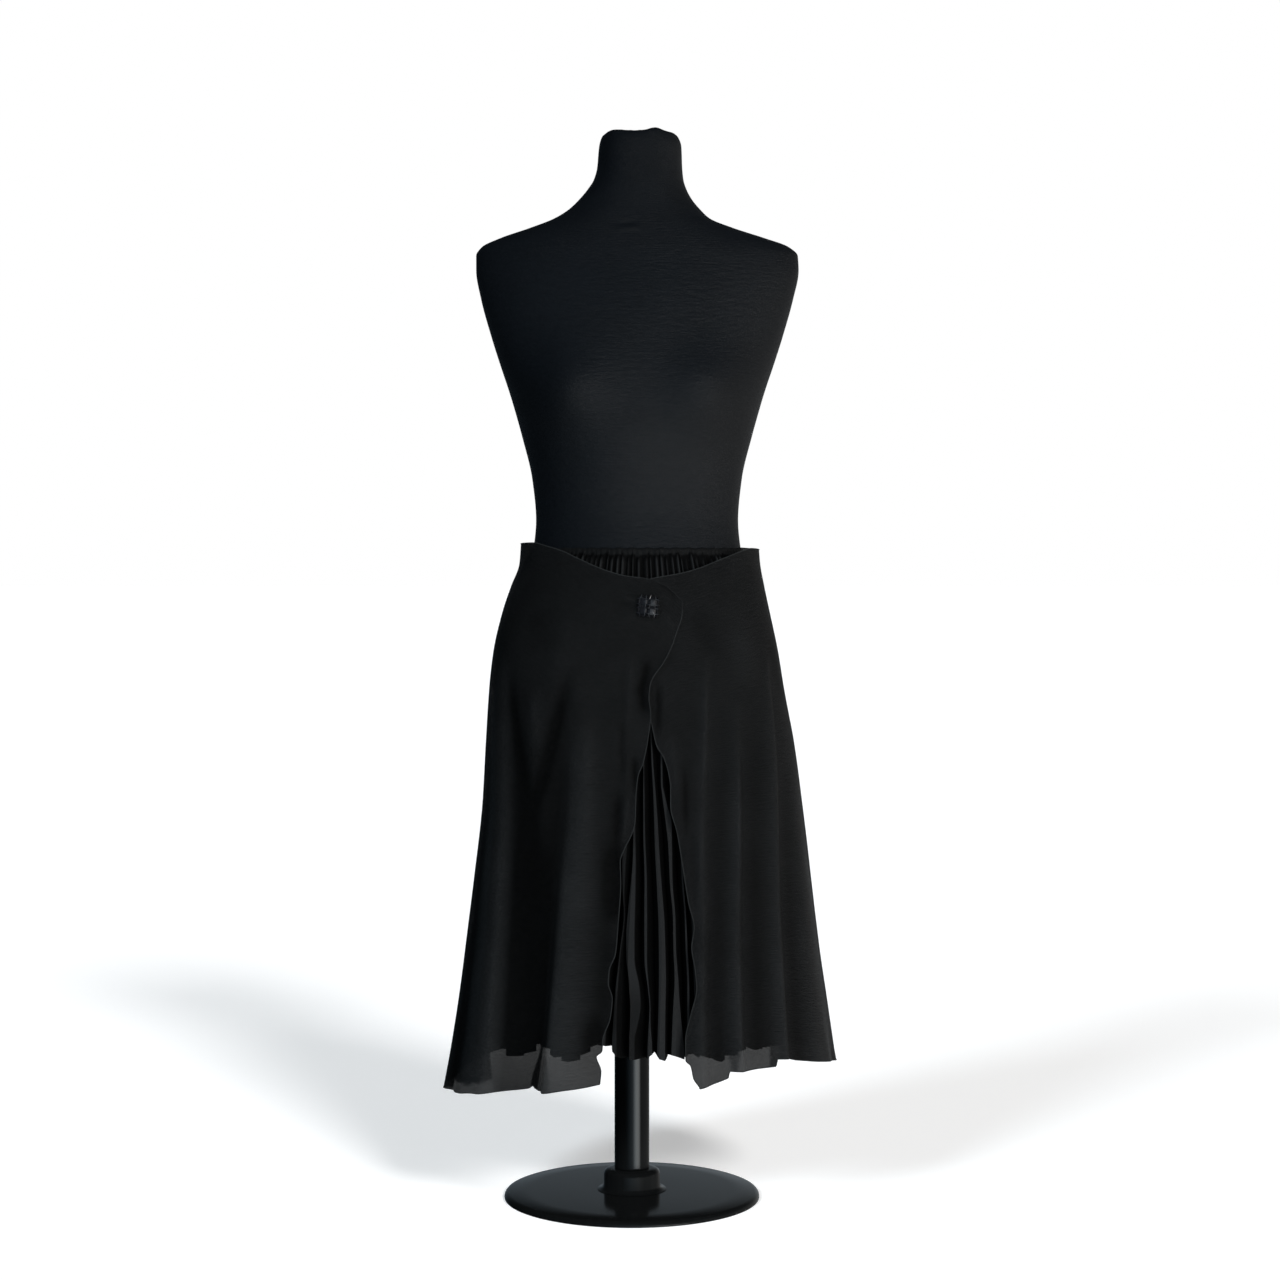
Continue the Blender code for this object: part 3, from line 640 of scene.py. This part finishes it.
def placeWaistband(u, v):
    s = waistband
    random = np.random.default_rng(5)
    count = 2 * s["gathers"]
    turns = evenTurns(formBody["rows"], s["ring"], -180.0, 180.0, count)
    drift = random.uniform(-s["drift"], s["drift"], count + 1) * 360.0 / count
    tall = random.uniform(*s["tall"], count + 1)
    late = random.uniform(*s["late"], count + 1)
    for values in (drift, tall, late):
        values[-1] = values[0]
    j = np.clip(u * count, 0, count)
    k = np.minimum(j.astype(int), count - 1)
    f = j - k
    f = f * f * (3 - 2 * f)

    def blend(values):
        return values[k] * (1 - f) + values[k + 1] * f

    z = s["top"] + (s["bottom"] - s["top"]) * v
    below = (s["top"] - s["casing"] - z) / 10.0
    full = 0.12 + 0.88 * softStep(-0.35 + blend(late), 0.9 + blend(late), below)
    ridge = np.where(k % 2 == 0, f, 1 - f)
    casingRoll = s["casingRoll"] * np.exp(-(((s["top"] - z - 3.0) / 2.6) ** 2))
    stitchDip = s["stitchDip"] * np.exp(-(((s["top"] - z - s["casing"]) / 0.9) ** 2))
    out = s["clear"] + s["depth"] * ridge * blend(tall) * full + casingRoll + stitchDip
    points = aroundForm(formBody["rows"], blend(turns + drift), z, out)
    points[:, 2] += 0.5 * np.sin(u * 2 * np.pi * 41) * (1 - v)
    # painted light on the gathers' ridges and painted shade between them; the flat casing keeps its plain colour
    paintedLight = ridge * blend(tall) * full
    tone = s["flankPaintedShade"] + (s["crestPaintedLight"] - s["flankPaintedShade"]) * softStep(0.3, 0.9, paintedLight)
    return points, np.where(full < 0.3, 1.0, tone), 0 * tone


s = waistband
columns = s["gathers"] * s["columnsPerGather"]
piece = clothSheet("gatheredWaistband", columns, s["lines"], placeWaistband, (1.05, 0.05), blackCrepe, wrapped=True)
giveThickness(piece, s["thickness"])
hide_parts("waistband")
print("waistband made")

# sheer wrap overskirt

overskirt = {
    "rows": [
        (771, 135.5, 142, 93.5, 93.8), (745, 137.5, 144, 97.5, 101), (718, 147.5, 149, 104, 111.6),
        (690, 157, 155, 110, 122), (643, 168, 165, 117, 134), (600, 173, 172, 121, 140),
        (540, 177, 183, 127, 145), (468, 181, 193, 137, 154), (380, 191, 204, 151, 167),
        (292, 202, 215, 165, 180), (200, 215, 229, 178, 193), (125, 228, 240, 188, 203),
    ],
    "folds": [
        (-80, -74, 6, -7, 0, 600), (-69, -54, 7, 9, 3, 640), (-62, -39, 7, -8, 0, 610),
        (-24, -36, 7, -8, 0, 600), (-20, -21, 6, 9, -5, 620), (-7, -12, 4, -5, 0, 520),
        (29, 18, 2.2, 6, 0, 640), (36, 23, 4, -4, 0, 590), (44, 28, 2.4, 7, 1, 600),
        (54, 36, 4, -5, 0, 590), (66, 44, 2.4, 7, 1, 640), (70, 53, 5, -5, 0, 520),
        (78, 66, 9, 6, 0, 560), (104, 98, 7, -7, 0, 560), (122, 118, 8, 8, 2, 600),
        (140, 137, 7, -8, 0, 540), (155, 154, 8, 7, -2, 620), (172, 172, 7, -7, 0, 560),
        (190, 189, 9, 8, 2, 600), (211, 210, 8, -9, 0, 540), (230, 231, 8, 8, -3, 610),
        (252, 256, 8, -6, 0, 560),
    ],
    "growth": 0.62, "ripple": 1.2, "slack": 1.3, "hemRadius": 0.6,
    "clear": 1.6,  # how far it keeps from the pleats, and how much further low down
    "clearLower": 2.5, "leastRoom": 0.8,
    # painted light and shade: the colour is lighter where a fold stands out and darker where it sinks in
    "paintedLightGain": 0.17,  # how much lighter the cloth reads for each millimetre that a fold stands out
    "paintedShadeRange": (0.15, 2.6), "seamDip": 0.9,
    "flutter": 1.9,  # how far the free edge waves
}

rightFront = {
    "side": -1, "tuck": 0.0, "seed": 21,
    "top": [(0, 768), (0.25, 769), (0.385, 764), (0.46, 759.5), (0.54, 751.5), (0.69, 736.5),
            (0.77, 731), (0.86, 728), (0.925, 721), (1, 703)],
    "hem": [(0, 130), (0.15, 134.5), (0.3, 137.5), (0.42, 145), (0.58, 151), (0.7, 157), (0.727, 160.5),
            (0.735, 158.5), (0.77, 156.5), (0.85, 156.5), (0.92, 161), (1, 167)],
    # the free edge: height and how far it is from the middle line
    "edge": [(704, 51.8), (687, 51), (669, 45.3), (650, 38.5), (633, 29.4), (617, 18.1), (608, 14.8),
             (594, 13.6), (576, 15.5), (549, 12.5), (521, 6.9), (507, 1.3), (485, -1), (456, -2.1),
             (443, -5.5), (425, -14.4), (412, -18.9), (390, -18.3), (345, -21), (312, -23.8),
             (292, -31), (278, -32.1), (262, -27.6), (240, -29.8), (217, -37.6), (204, -38.7),
             (198, -44.2), (181, -39.8), (168, -40.9)],
    "creases": [
        (-7, 709, 1.5, 702, 2.2, 1.3), (-9, 700, 0, 698, 3, -0.9), (-6, 684, 2, 690, 3.5, 0.8),
        (9, 727, 19, 707, 4.5, -1.8), (14, 727, 21, 712, 3, 1.6), (9, 690, 16, 672, 5, 0.9),
        (-2.2, 650, -3.5, 560, 4, 1.6), (4.6, 640, 1.2, 598, 4.2, -3.4), (0.8, 612, 2.8, 574, 4.2, -3.4),
        (-5.6, 580, -5.6, 495, 3, -1.6), (-7, 495, -7.4, 420, 4, -2.4), (-8.4, 436, -7.3, 340, 8.5, -4.5),
        (-1.2, 532, -0.6, 484, 3, -3.2), (-3.8, 490, -4.4, 436, 3.5, 1.4), (-13.5, 250, -14, 172, 6, -2.5),
        (-60, 630, -44, 465, 9, -2.8), (-26, 630, -42, 450, 8.5, -3.4), (-43, 520, -37, 110, 13, -4.5),
        (-43, 610, -42, 530, 9, 2), (-48, 700, -40, 640, 22, -1.2), (-30, 690, -33, 610, 18, 1.2),
        (-76, 690, -72, 580, 12, -1.4), (-17, 590, -17, 330, 7, 1.5),
    ],
    "turnedOut": [(560, 655, 4, 3.2)],  # the edge strip stands off: low and high end, width, how far
    "doubled": [
        ([(100, -260), (330, -260)], [(150, -156), (163, -157), (199, -160), (330, -150)],
         [(-230, 134), (-208, 137), (-205, 147), (-186, 152), (-180, 156), (-157, 163)], 0.93),
        ([(150, -113.5), (159, -113.4), (206, -102.2), (330, -98)], [(150, -106), (206, -98)],
         [(-120, 140), (-90, 140)], 0.95),
        ([(150, -107), (206, -99)], [(150, -90), (191, -94.4), (206, -96)],
         [(-120, 140), (-80, 140)], 0.5),
        ([(100, -158), (330, -158)], [(150, -108), (206, -100)],
         [(-158, 163), (-152, 140), (-80, 140)], 0.3),
    ],
}
leftFront = {
    "side": 1, "tuck": 2.2, "seed": 22,
    "top": [(0, 761), (0.23, 762.5), (0.31, 760), (0.46, 751), (0.615, 739), (0.69, 734.5),
            (0.85, 727), (0.93, 718), (1, 700)],
    "hem": [(0, 162), (0.12, 167), (0.38, 176.5), (0.5, 181.5), (0.58, 186.5), (0.632, 187.5), (0.645, 179.5),
            (0.75, 178), (0.853, 179), (0.866, 171.5), (0.93, 166), (1, 162.5)],
    "edge": [(700, -25), (660, -14), (620, 2), (590, 10), (571, 15.3), (564, 17), (540, 22.6),
             (527, 30.5), (509, 36.1), (492, 38.3), (473, 38.3), (444, 45.6), (400, 52.8), (366, 58.3),
             (338, 64.4), (316, 61.6), (293, 64.9), (271, 66.5), (244, 60.8), (214, 54.6),
             (194, 54.6), (188, 60.2), (173, 63.5), (164, 69.5)],
    "creases": [
        (4.6, 640, 1.2, 598, 4.2, -3.4), (0.8, 612, 2.8, 574, 4.2, -3.4),
        (8.3, 618, 7.7, 545, 3, -3), (17.2, 525, 16.6, 436, 3, -2.6), (12.2, 560, 14, 480, 4, 1.4),
        (28.6, 640, 22, 470, 3.4, 2), (22, 470, 18.6, 330, 3.6, 2.2), (39, 545, 32, 350, 4, 2.2),
        (64, 640, 52, 410, 4, 1.8), (20, 430, 19, 300, 4.5, -2.6), (24, 700, 34, 640, 16, -1),
        (50, 690, 47, 600, 16, 1.1), (70, 670, 74, 580, 13, -1.3),
    ],
    "turnedOut": [],
    "doubled": [
        ([(165, 115.5), (172, 114.2), (201, 107.5)], [(165, 117), (178, 118.4), (201, 122.5)],
         [(100, 140), (130, 140)], 0.6),
        ([(165, 155.7), (205, 155.7)], [(165, 170), (205, 170)],
         [(150, 140), (175, 140)], 0.8),
        ([(165, 166), (205, 166)], [(165, 300), (205, 300)],
         [(165, 140), (182, 172), (205, 176), (228, 170)], 0.97),
    ],
}
backPanel = {
    "top": [(0, 761), (0.5, 767), (1, 768)],
    "hem": [(0, 162), (0.2, 158), (0.45, 165), (0.7, 152), (0.85, 142), (1, 130)],
    "creases": [
        (128, 640, 126, 520, 9, -1.5), (150, 660, 148, 470, 8, 1.7), (182, 650, 181, 500, 9, -1.6),
        (205, 640, 203, 480, 8, 1.6), (224, 650, 226, 520, 9, -1.7), (113, 600, 111, 430, 6, 1.8),
        (166, 560, 165, 380, 6, 2), (198, 540, 199, 330, 5, -2.2), (242, 590, 245, 400, 6, 1.9),
        (136, 420, 133, 260, 5, -2.2), (218, 380, 219, 230, 5, 2.2),
    ],
    # next to the side seams the hem's folds go on: turn where they fade out, turn where they are full, share
    "doubled": [(118, 92, 0.97), (242, 268, 0.93)],
    "seed": 23,
}


foldedHem = (330, 240)  # the heights where the hem's doubled cloth starts and is full


def hangCloth(turn, z, tuck, creases, toHem, seed):
    # the overskirt at a turn and height: plain shape, main folds, small creases, an uneven hem, and painted shade and
    # light that follow the folds
    s = overskirt
    fold, lean = foldField(s["folds"], turn, z, s["growth"])
    crease = creaseField(creases, turn, z)
    out = fold + crease
    plain = aroundForm(s["rows"], turn, z)
    # the panels meet at the side seams, so their unevenness fades out there
    side = np.abs([turn - 90, turn + 90, turn - 270]).min(axis=0)
    unsewn = softStep(0, 6, side)
    loose = softStep(640, 420, z)
    slack = uneven(plain * np.array([1, 1, 0.45]), 38.0, seed) * unsewn
    out = out + s["slack"] * slack * loose
    hemRipple = np.exp(-toHem / 26.0) * unsewn
    arc = np.radians(turn) * 200.0
    out = out + s["ripple"] * hemRipple * (np.sin(arc / 9.5 + seed) + 0.7 * np.sin(arc / 5.3 + 2 * seed))
    # a seam draws the cloth in a little
    out = out - s["seamDip"] * np.exp(-((side * 3.0 / 2.6) ** 2))
    # it never sinks as far as the pleats under it
    pleats = aroundForm(underskirt["rows"], turn, z, smoothLine(underskirt["outward"], z))
    apart = np.linalg.norm(plain - pleats, axis=1)
    clear = s["clear"] + s["clearLower"] * softStep(450, 190, z)
    room = np.maximum(apart - tuck - clear, s["leastRoom"])
    out = np.where(out < 0, room * (np.exp(out / room) - 1), out) - tuck
    # painted shade and light: darker over sunken folds, creases and slack, lighter over raised ones
    tone = np.clip(1 + s["paintedLightGain"] * (fold + 1.6 * crease) + 0.08 * slack, *s["paintedShadeRange"])
    return aroundForm(s["rows"], turn + lean, z, out), tone, 0 * tone


def placeFront(panel):
    def place(u, v):
        top, hem = smoothLine(panel["top"], u), smoothLine(panel["hem"], u)
        z = top + (hem - top) * v
        edgeX = smoothLine(panel["edge"], z)
        edgeTurn = turnAtX(overskirt["rows"], z, edgeX)
        turn = panel["side"] * 90.0 + (edgeTurn - panel["side"] * 90.0) * u
        tuck = panel["tuck"] * (1 - softStep(25, 55, turn))
        points, tone, doubled = hangCloth(turn, z, tuck, panel["creases"], z - hem, panel["seed"])
        # the free edge flutters where nothing holds it
        fromEdge = np.abs(turn - edgeTurn) * 2.6
        free = np.exp(-fromEdge / 13.0) * softStep(585, 500, z)
        wave = np.sin(z / 8.3 + panel["seed"]) + 0.8 * np.sin(z / 14.9 + 2.1 * panel["seed"])
        points[:, 1] -= overskirt["flutter"] * wave * free
        for lowZ, highZ, width, out in panel["turnedOut"]:
            ends = softStep(lowZ, lowZ + 25, z) * softStep(highZ, highZ - 25, z)
            points[:, 1] -= out * np.exp(-fromEdge / width) * ends
        # the hem's folds: two slanting sides, a lower end, and how much of the light they stop
        x = points[:, 0]
        for leftSide, rightSide, foot, share in panel["doubled"]:
            inside = softStep(-1.2, 1.2, x - smoothLine(leftSide, z))
            inside = inside * softStep(1.2, -1.2, x - smoothLine(rightSide, z))
            inside = inside * softStep(-1.5, 1.5, z - smoothLine(foot, x)) * softStep(*foldedHem, z)
            doubled = np.maximum(doubled, share * inside)
        return points, tone, doubled

    return place


def placeBack(u, v):
    s = backPanel
    top, hem = smoothLine(s["top"], u), smoothLine(s["hem"], u)
    z = top + (hem - top) * v
    turn = 90.0 + 180.0 * u
    points, tone, doubled = hangCloth(turn, z, 0.0, s["creases"], z - hem, s["seed"])
    for fadedTurn, fullTurn, share in s["doubled"]:
        doubled = doubled + share * softStep(fadedTurn, fullTurn, turn) * softStep(*foldedHem, z)
    return points, tone, doubled


def edgeLine(place, alongHem, at, count=260):
    t = np.linspace(0, 1, count)
    fixed = np.full(count, float(at))
    return (place(t, fixed) if alongHem else place(fixed, t))[0]


for name, node, place, size, cut, area in (
    ("overskirtRightFront", "overskirt_right_front", placeFront(rightFront), (190, 190), (0.36, 0.65), 0.158),
    ("overskirtLeftFront", "overskirt_left_front", placeFront(leftFront), (190, 190), (0.33, 0.62), 0.134),
    ("overskirtBack", "overskirt_back", placeBack, (250, 150), (0.7, 0.65), 0.336),
):
    piece = clothSheet(name, *size, place, cut, blackChiffon)
    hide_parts(node)
    lines = [edgeLine(place, True, 1), edgeLine(place, True, 0)]
    if name != "overskirtBack":
        lines.append(edgeLine(place, False, 1))
    radii = [np.full(len(line), overskirt["hemRadius"]) for line in lines]
    if name == "overskirtRightFront":
        # near the button the edge lies flat and hardly shows
        t = np.linspace(0, 1, len(radii[1]))
        radii[1] = radii[1] * (1 - 0.7 * softStep(0.8, 0.86, t))
        radii[2] = radii[2] * (0.3 + 0.7 * softStep(0.0, 0.035, t))
    hem = rolledEdge(name + "Hem", lines, radii, rolledChiffonPaintedHighlight)
print("overskirt made")

# button: a metal setting with four square stones, sewn on through a thread shank

button = {
    "tilt": 5.0,
    "setting": (22.6, 2.3),  # side and thickness
    "corner": 2.6, "rim": 0.9, "stone": 8.6, "pitch": 5.0,
    "steps": [(0.9, 0.6), (1.0, 0.55), (0.8, 0.3)],  # how far each facet ring goes in and forward
    "stoneTurns": [(-5.0, -17.0), (-3.0, 3.0), (-7.0, -20.0), (1.0, 6.0)],
    "seatGap": 0.45,  # the stones' backs stand off the setting's face
    "poke": 0.35, "wornEdge": 0.2, "prong": 0.75, "shank": 1.5, "thread": 0.3,
}
low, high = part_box("button_setting")
seat = Vector(((low[0] + high[0]) / 2, high[1], (low[2] + high[2]) / 2))  # middle of the setting's back


def placeOnButton(bm, verts, x, y, z, turns=(0.0, 0.0)):
    # turns a piece a little, moves it on the button's face and then tilts it with the button
    for angle, axis in zip(turns, "XZ"):
        bmesh.ops.rotate(bm, cent=(0, 0, 0), matrix=Matrix.Rotation(math.radians(angle), 3, axis), verts=verts)
    bmesh.ops.translate(bm, vec=(x * mm, y * mm, z * mm), verts=verts)
    bmesh.ops.rotate(bm, cent=(0, 0, 0), matrix=Matrix.Rotation(math.radians(button["tilt"]), 3, "Y"), verts=verts)
    bmesh.ops.translate(bm, vec=seat, verts=verts)


def squareBlock(bm, side, thick, corner, segments):
    # a square plate with its back at y = 0 and its front towards the camera; returns its front face
    made = bmesh.ops.create_cube(bm, size=1.0)["verts"]
    bmesh.ops.scale(bm, vec=(side * mm, thick * mm, side * mm), verts=made)
    bmesh.ops.translate(bm, vec=(0, -thick / 2 * mm, 0), verts=made)
    upright = [e for e in bm.edges if abs((e.verts[0].co - e.verts[1].co).normalized().y) > 0.9]
    bmesh.ops.bevel(bm, geom=upright, offset=corner * mm, offset_type="OFFSET", affect="EDGES",
                    segments=segments, profile=0.5, material=-1)
    return min(bm.faces, key=lambda f: f.calc_center_median().y)


bm = bmesh.new()
side, thick = button["setting"]
front = squareBlock(bm, side, thick, button["corner"], 5)
bmesh.ops.inset_region(bm, faces=[front], thickness=button["rim"] * mm, use_even_offset=True)
bmesh.ops.inset_region(bm, faces=[front], thickness=0.25 * mm, depth=-0.35 * mm, use_even_offset=True)
placeOnButton(bm, bm.verts[:], 0, 0, 0)
for sx, sz in ((-1, -1), (-1, 1), (1, -1), (1, 1), (0, 0)):
    made = bmesh.ops.create_uvsphere(bm, u_segments=14, v_segments=8, radius=button["prong"] * mm)["verts"]
    bmesh.ops.scale(bm, vec=(1, 1.3, 1), verts=made)
    reach = 0.5 * side - 0.9
    placeOnButton(bm, made, sx * reach, -thick - button["seatGap"] - 0.9 * (sx == sz == 0), sz * reach)
settingPiece = meshPiece("buttonSetting", bm, gunmetal)
edge = settingPiece.modifiers.new("worn edge", "BEVEL")
edge.width = button["wornEdge"] * mm
edge.segments = 2
edge.angle_limit = math.radians(50)
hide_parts("button_setting")

for n, (sx, sz) in enumerate(((-1, 1), (1, 1), (-1, -1), (1, -1))):
    bm = bmesh.new()
    front = squareBlock(bm, button["stone"], 1.0, 0.7, 2)
    for inset, rise in button["steps"]:
        bmesh.ops.inset_region(bm, faces=[front], thickness=inset * mm, depth=rise * mm, use_even_offset=True)
    bmesh.ops.poke(bm, faces=[front], offset=button["poke"] * mm)
    x, z = sx * button["pitch"], sz * button["pitch"]
    placeOnButton(bm, bm.verts[:], x, -thick - button["seatGap"], z, button["stoneTurns"][n])
    stone = meshPiece("buttonStone%d" % (n + 1), bm, jetStone, smooth=False)
    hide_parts("button_stone_%d" % (n + 1))

turns = np.linspace(0, 2 * np.pi * 5, 120)
line = np.stack([
    seat.x / mm + button["shank"] * np.cos(turns),
    seat.y / mm + np.linspace(-0.1, 1.5, 120),
    seat.z / mm + button["shank"] * np.sin(turns),
], -1)
shank = rolledEdge("buttonThread", [line], [button["thread"]], rolledChiffonPaintedHighlight)
print("button made")

# floor, lights, camera

studio = {
    "floorColour": (0.9, 0.9, 0.9, 1.0), "floorSize": 60.0, "floorGlow": 0.27, "worldSeen": 1.0,
    "roomLight": 0.58,
    # each fade: its axis, where it starts and ends along that, and its two values
    "roomFades": [("Z", 0.02, 0.55, 1.0, 0.05), ("X", -0.74, 0.42, 0.02, 1.0), ("X", 0.1, 0.9, 1.0, 0.42),
                  ("Y", 0.1, 0.95, 1.0, 0.62)],
    # a low bright patch in front draws the light line on the pole
    "patchFades": [("Y", -0.4, -0.2, 1.0, 0.0), ("X", 0.05, 0.68, 0.0, 1.0), ("X", 0.72, 0.86, 1.0, 0.0),
                   ("Z", -0.3, -0.25, 0.0, 1.0), ("Z", -0.15, -0.1, 1.0, 0.0)],
    "patchGain": 11.0,
    "tint": ("X", -0.6, 0.75, 0.0, 1.0),
    "coolSide": (0.6, 0.82, 1.0, 1.0), "warmSide": (1.0, 0.985, 0.965, 1.0),
    "camera": (0.0095, -3.10, 0.755), "tilt": 1.838, "lens": 74.52, "lampAway": 4.0,
    # turn and height of each soft sun as seen from the object, then strength, softness and colour
    "suns": {
        "keyRight": (27, 31, 2.5, 13, (1.0, 0.99, 0.98)),
        "fillLeft": (-38, 30, 1.9, 15, (0.85, 0.94, 1.0)),
        "rimRight": (108, 14, 0.6, 18, (1.0, 1.0, 1.0)),
        "backSoft": (178, 12, 2.5, 30, (1.0, 1.0, 1.0)),
    },
}
bm = bmesh.new()
bmesh.ops.create_grid(bm, x_segments=1, y_segments=1, size=studio["floorSize"])
mesh = bpy.data.meshes.new("paleFloor")
bm.to_mesh(mesh)
bm.free()
floor = newObject("paleFloor", mesh)
floorMaterial, tree, shader = newMaterial("paleFloor", 0.95, specular=0.0)
feed(tree, shader, {"Base Color": studio["floorColour"]})
# the glow is for the camera alone, so that the floor looks pale and doesn't light the cloth
glow = addNode(tree, "Emission", {"Strength": studio["floorGlow"]}).outputs["Emission"]
seen = addNode(tree, "MixShader", {"Fac": addNode(tree, "LightPath", {}).outputs["Is Camera Ray"], 2: glow})
both = addNode(tree, "AddShader", {0: shader.outputs["BSDF"], 1: seen.outputs["Shader"]})
feed(tree, tree.nodes["Material Output"], {"Surface": both.outputs["Shader"]})
floor.data.materials.append(floorMaterial)
floor.visible_glossy = floor.visible_diffuse = floor.visible_shadow = False

# the room: bright round the horizon, darker overhead and towards the left and the back
world = bpy.data.worlds.new("studio")
bpy.context.scene.world = world
world.use_nodes = True
tree = world.node_tree
backdrop = feed(tree, tree.nodes["Background"], {"Color": (1.0, 1.0, 1.0, 1.0), "Strength": studio["worldSeen"]})
look = addNode(tree, "SeparateXYZ", {"Vector": addNode(tree, "TexCoord", {}).outputs["Generated"]}).outputs


def fade(axis, *values):
    return rangeNode(tree, look[axis], *values, interpolation_type="SMOOTHSTEP")


patch = product(tree, *[fade(*row) for row in studio["patchFades"]], studio["patchGain"])
strength = product(tree, *[fade(*row) for row in studio["roomFades"]], mathNode(tree, "ADD", patch, 1.0),
                   studio["roomLight"])
tint = addNode(tree, "Mix", {"Factor": fade(*studio["tint"]), "A": studio["coolSide"], "B": studio["warmSide"]},
               data_type="RGBA")
soft = addNode(tree, "Background", {"Color": tint.outputs["Result"], "Strength": strength})
mix = addNode(tree, "MixShader", {
    "Fac": addNode(tree, "LightPath", {}).outputs["Is Camera Ray"],
    1: soft.outputs["Background"], 2: backdrop.outputs["Background"],
})
feed(tree, tree.nodes["World Output"], {"Surface": mix.outputs["Shader"]})

for name, (turn, height, strength, softness, colour) in studio["suns"].items():
    light = bpy.data.lights.new(name, "SUN")
    light.energy = strength
    light.angle = math.radians(softness)
    light.color = colour
    lamp = newObject(name, light)
    t, h = math.radians(turn), math.radians(height)
    towards = Vector((math.sin(t) * math.cos(h), -math.cos(t) * math.cos(h), math.sin(h)))
    lamp.rotation_euler = towards.to_track_quat("Z", "Y").to_euler()
    lamp.location = towards * studio["lampAway"]
    lamp.visible_glossy = False  # the room makes the sheen, the suns only model and cast shadows
    light.use_shadow = name != "backSoft"  # it lights the back and casts nothing towards the camera

camera = newObject("camera", bpy.data.cameras.new("camera"))
camera.data.lens = studio["lens"]
camera.data.sensor_width = 36.0
camera.location = studio["camera"]
camera.rotation_euler = (math.radians(90.0 - studio["tilt"]), 0, 0)
bpy.context.scene.camera = camera
bpy.context.scene.view_settings.view_transform = "Standard"
print("studio made")
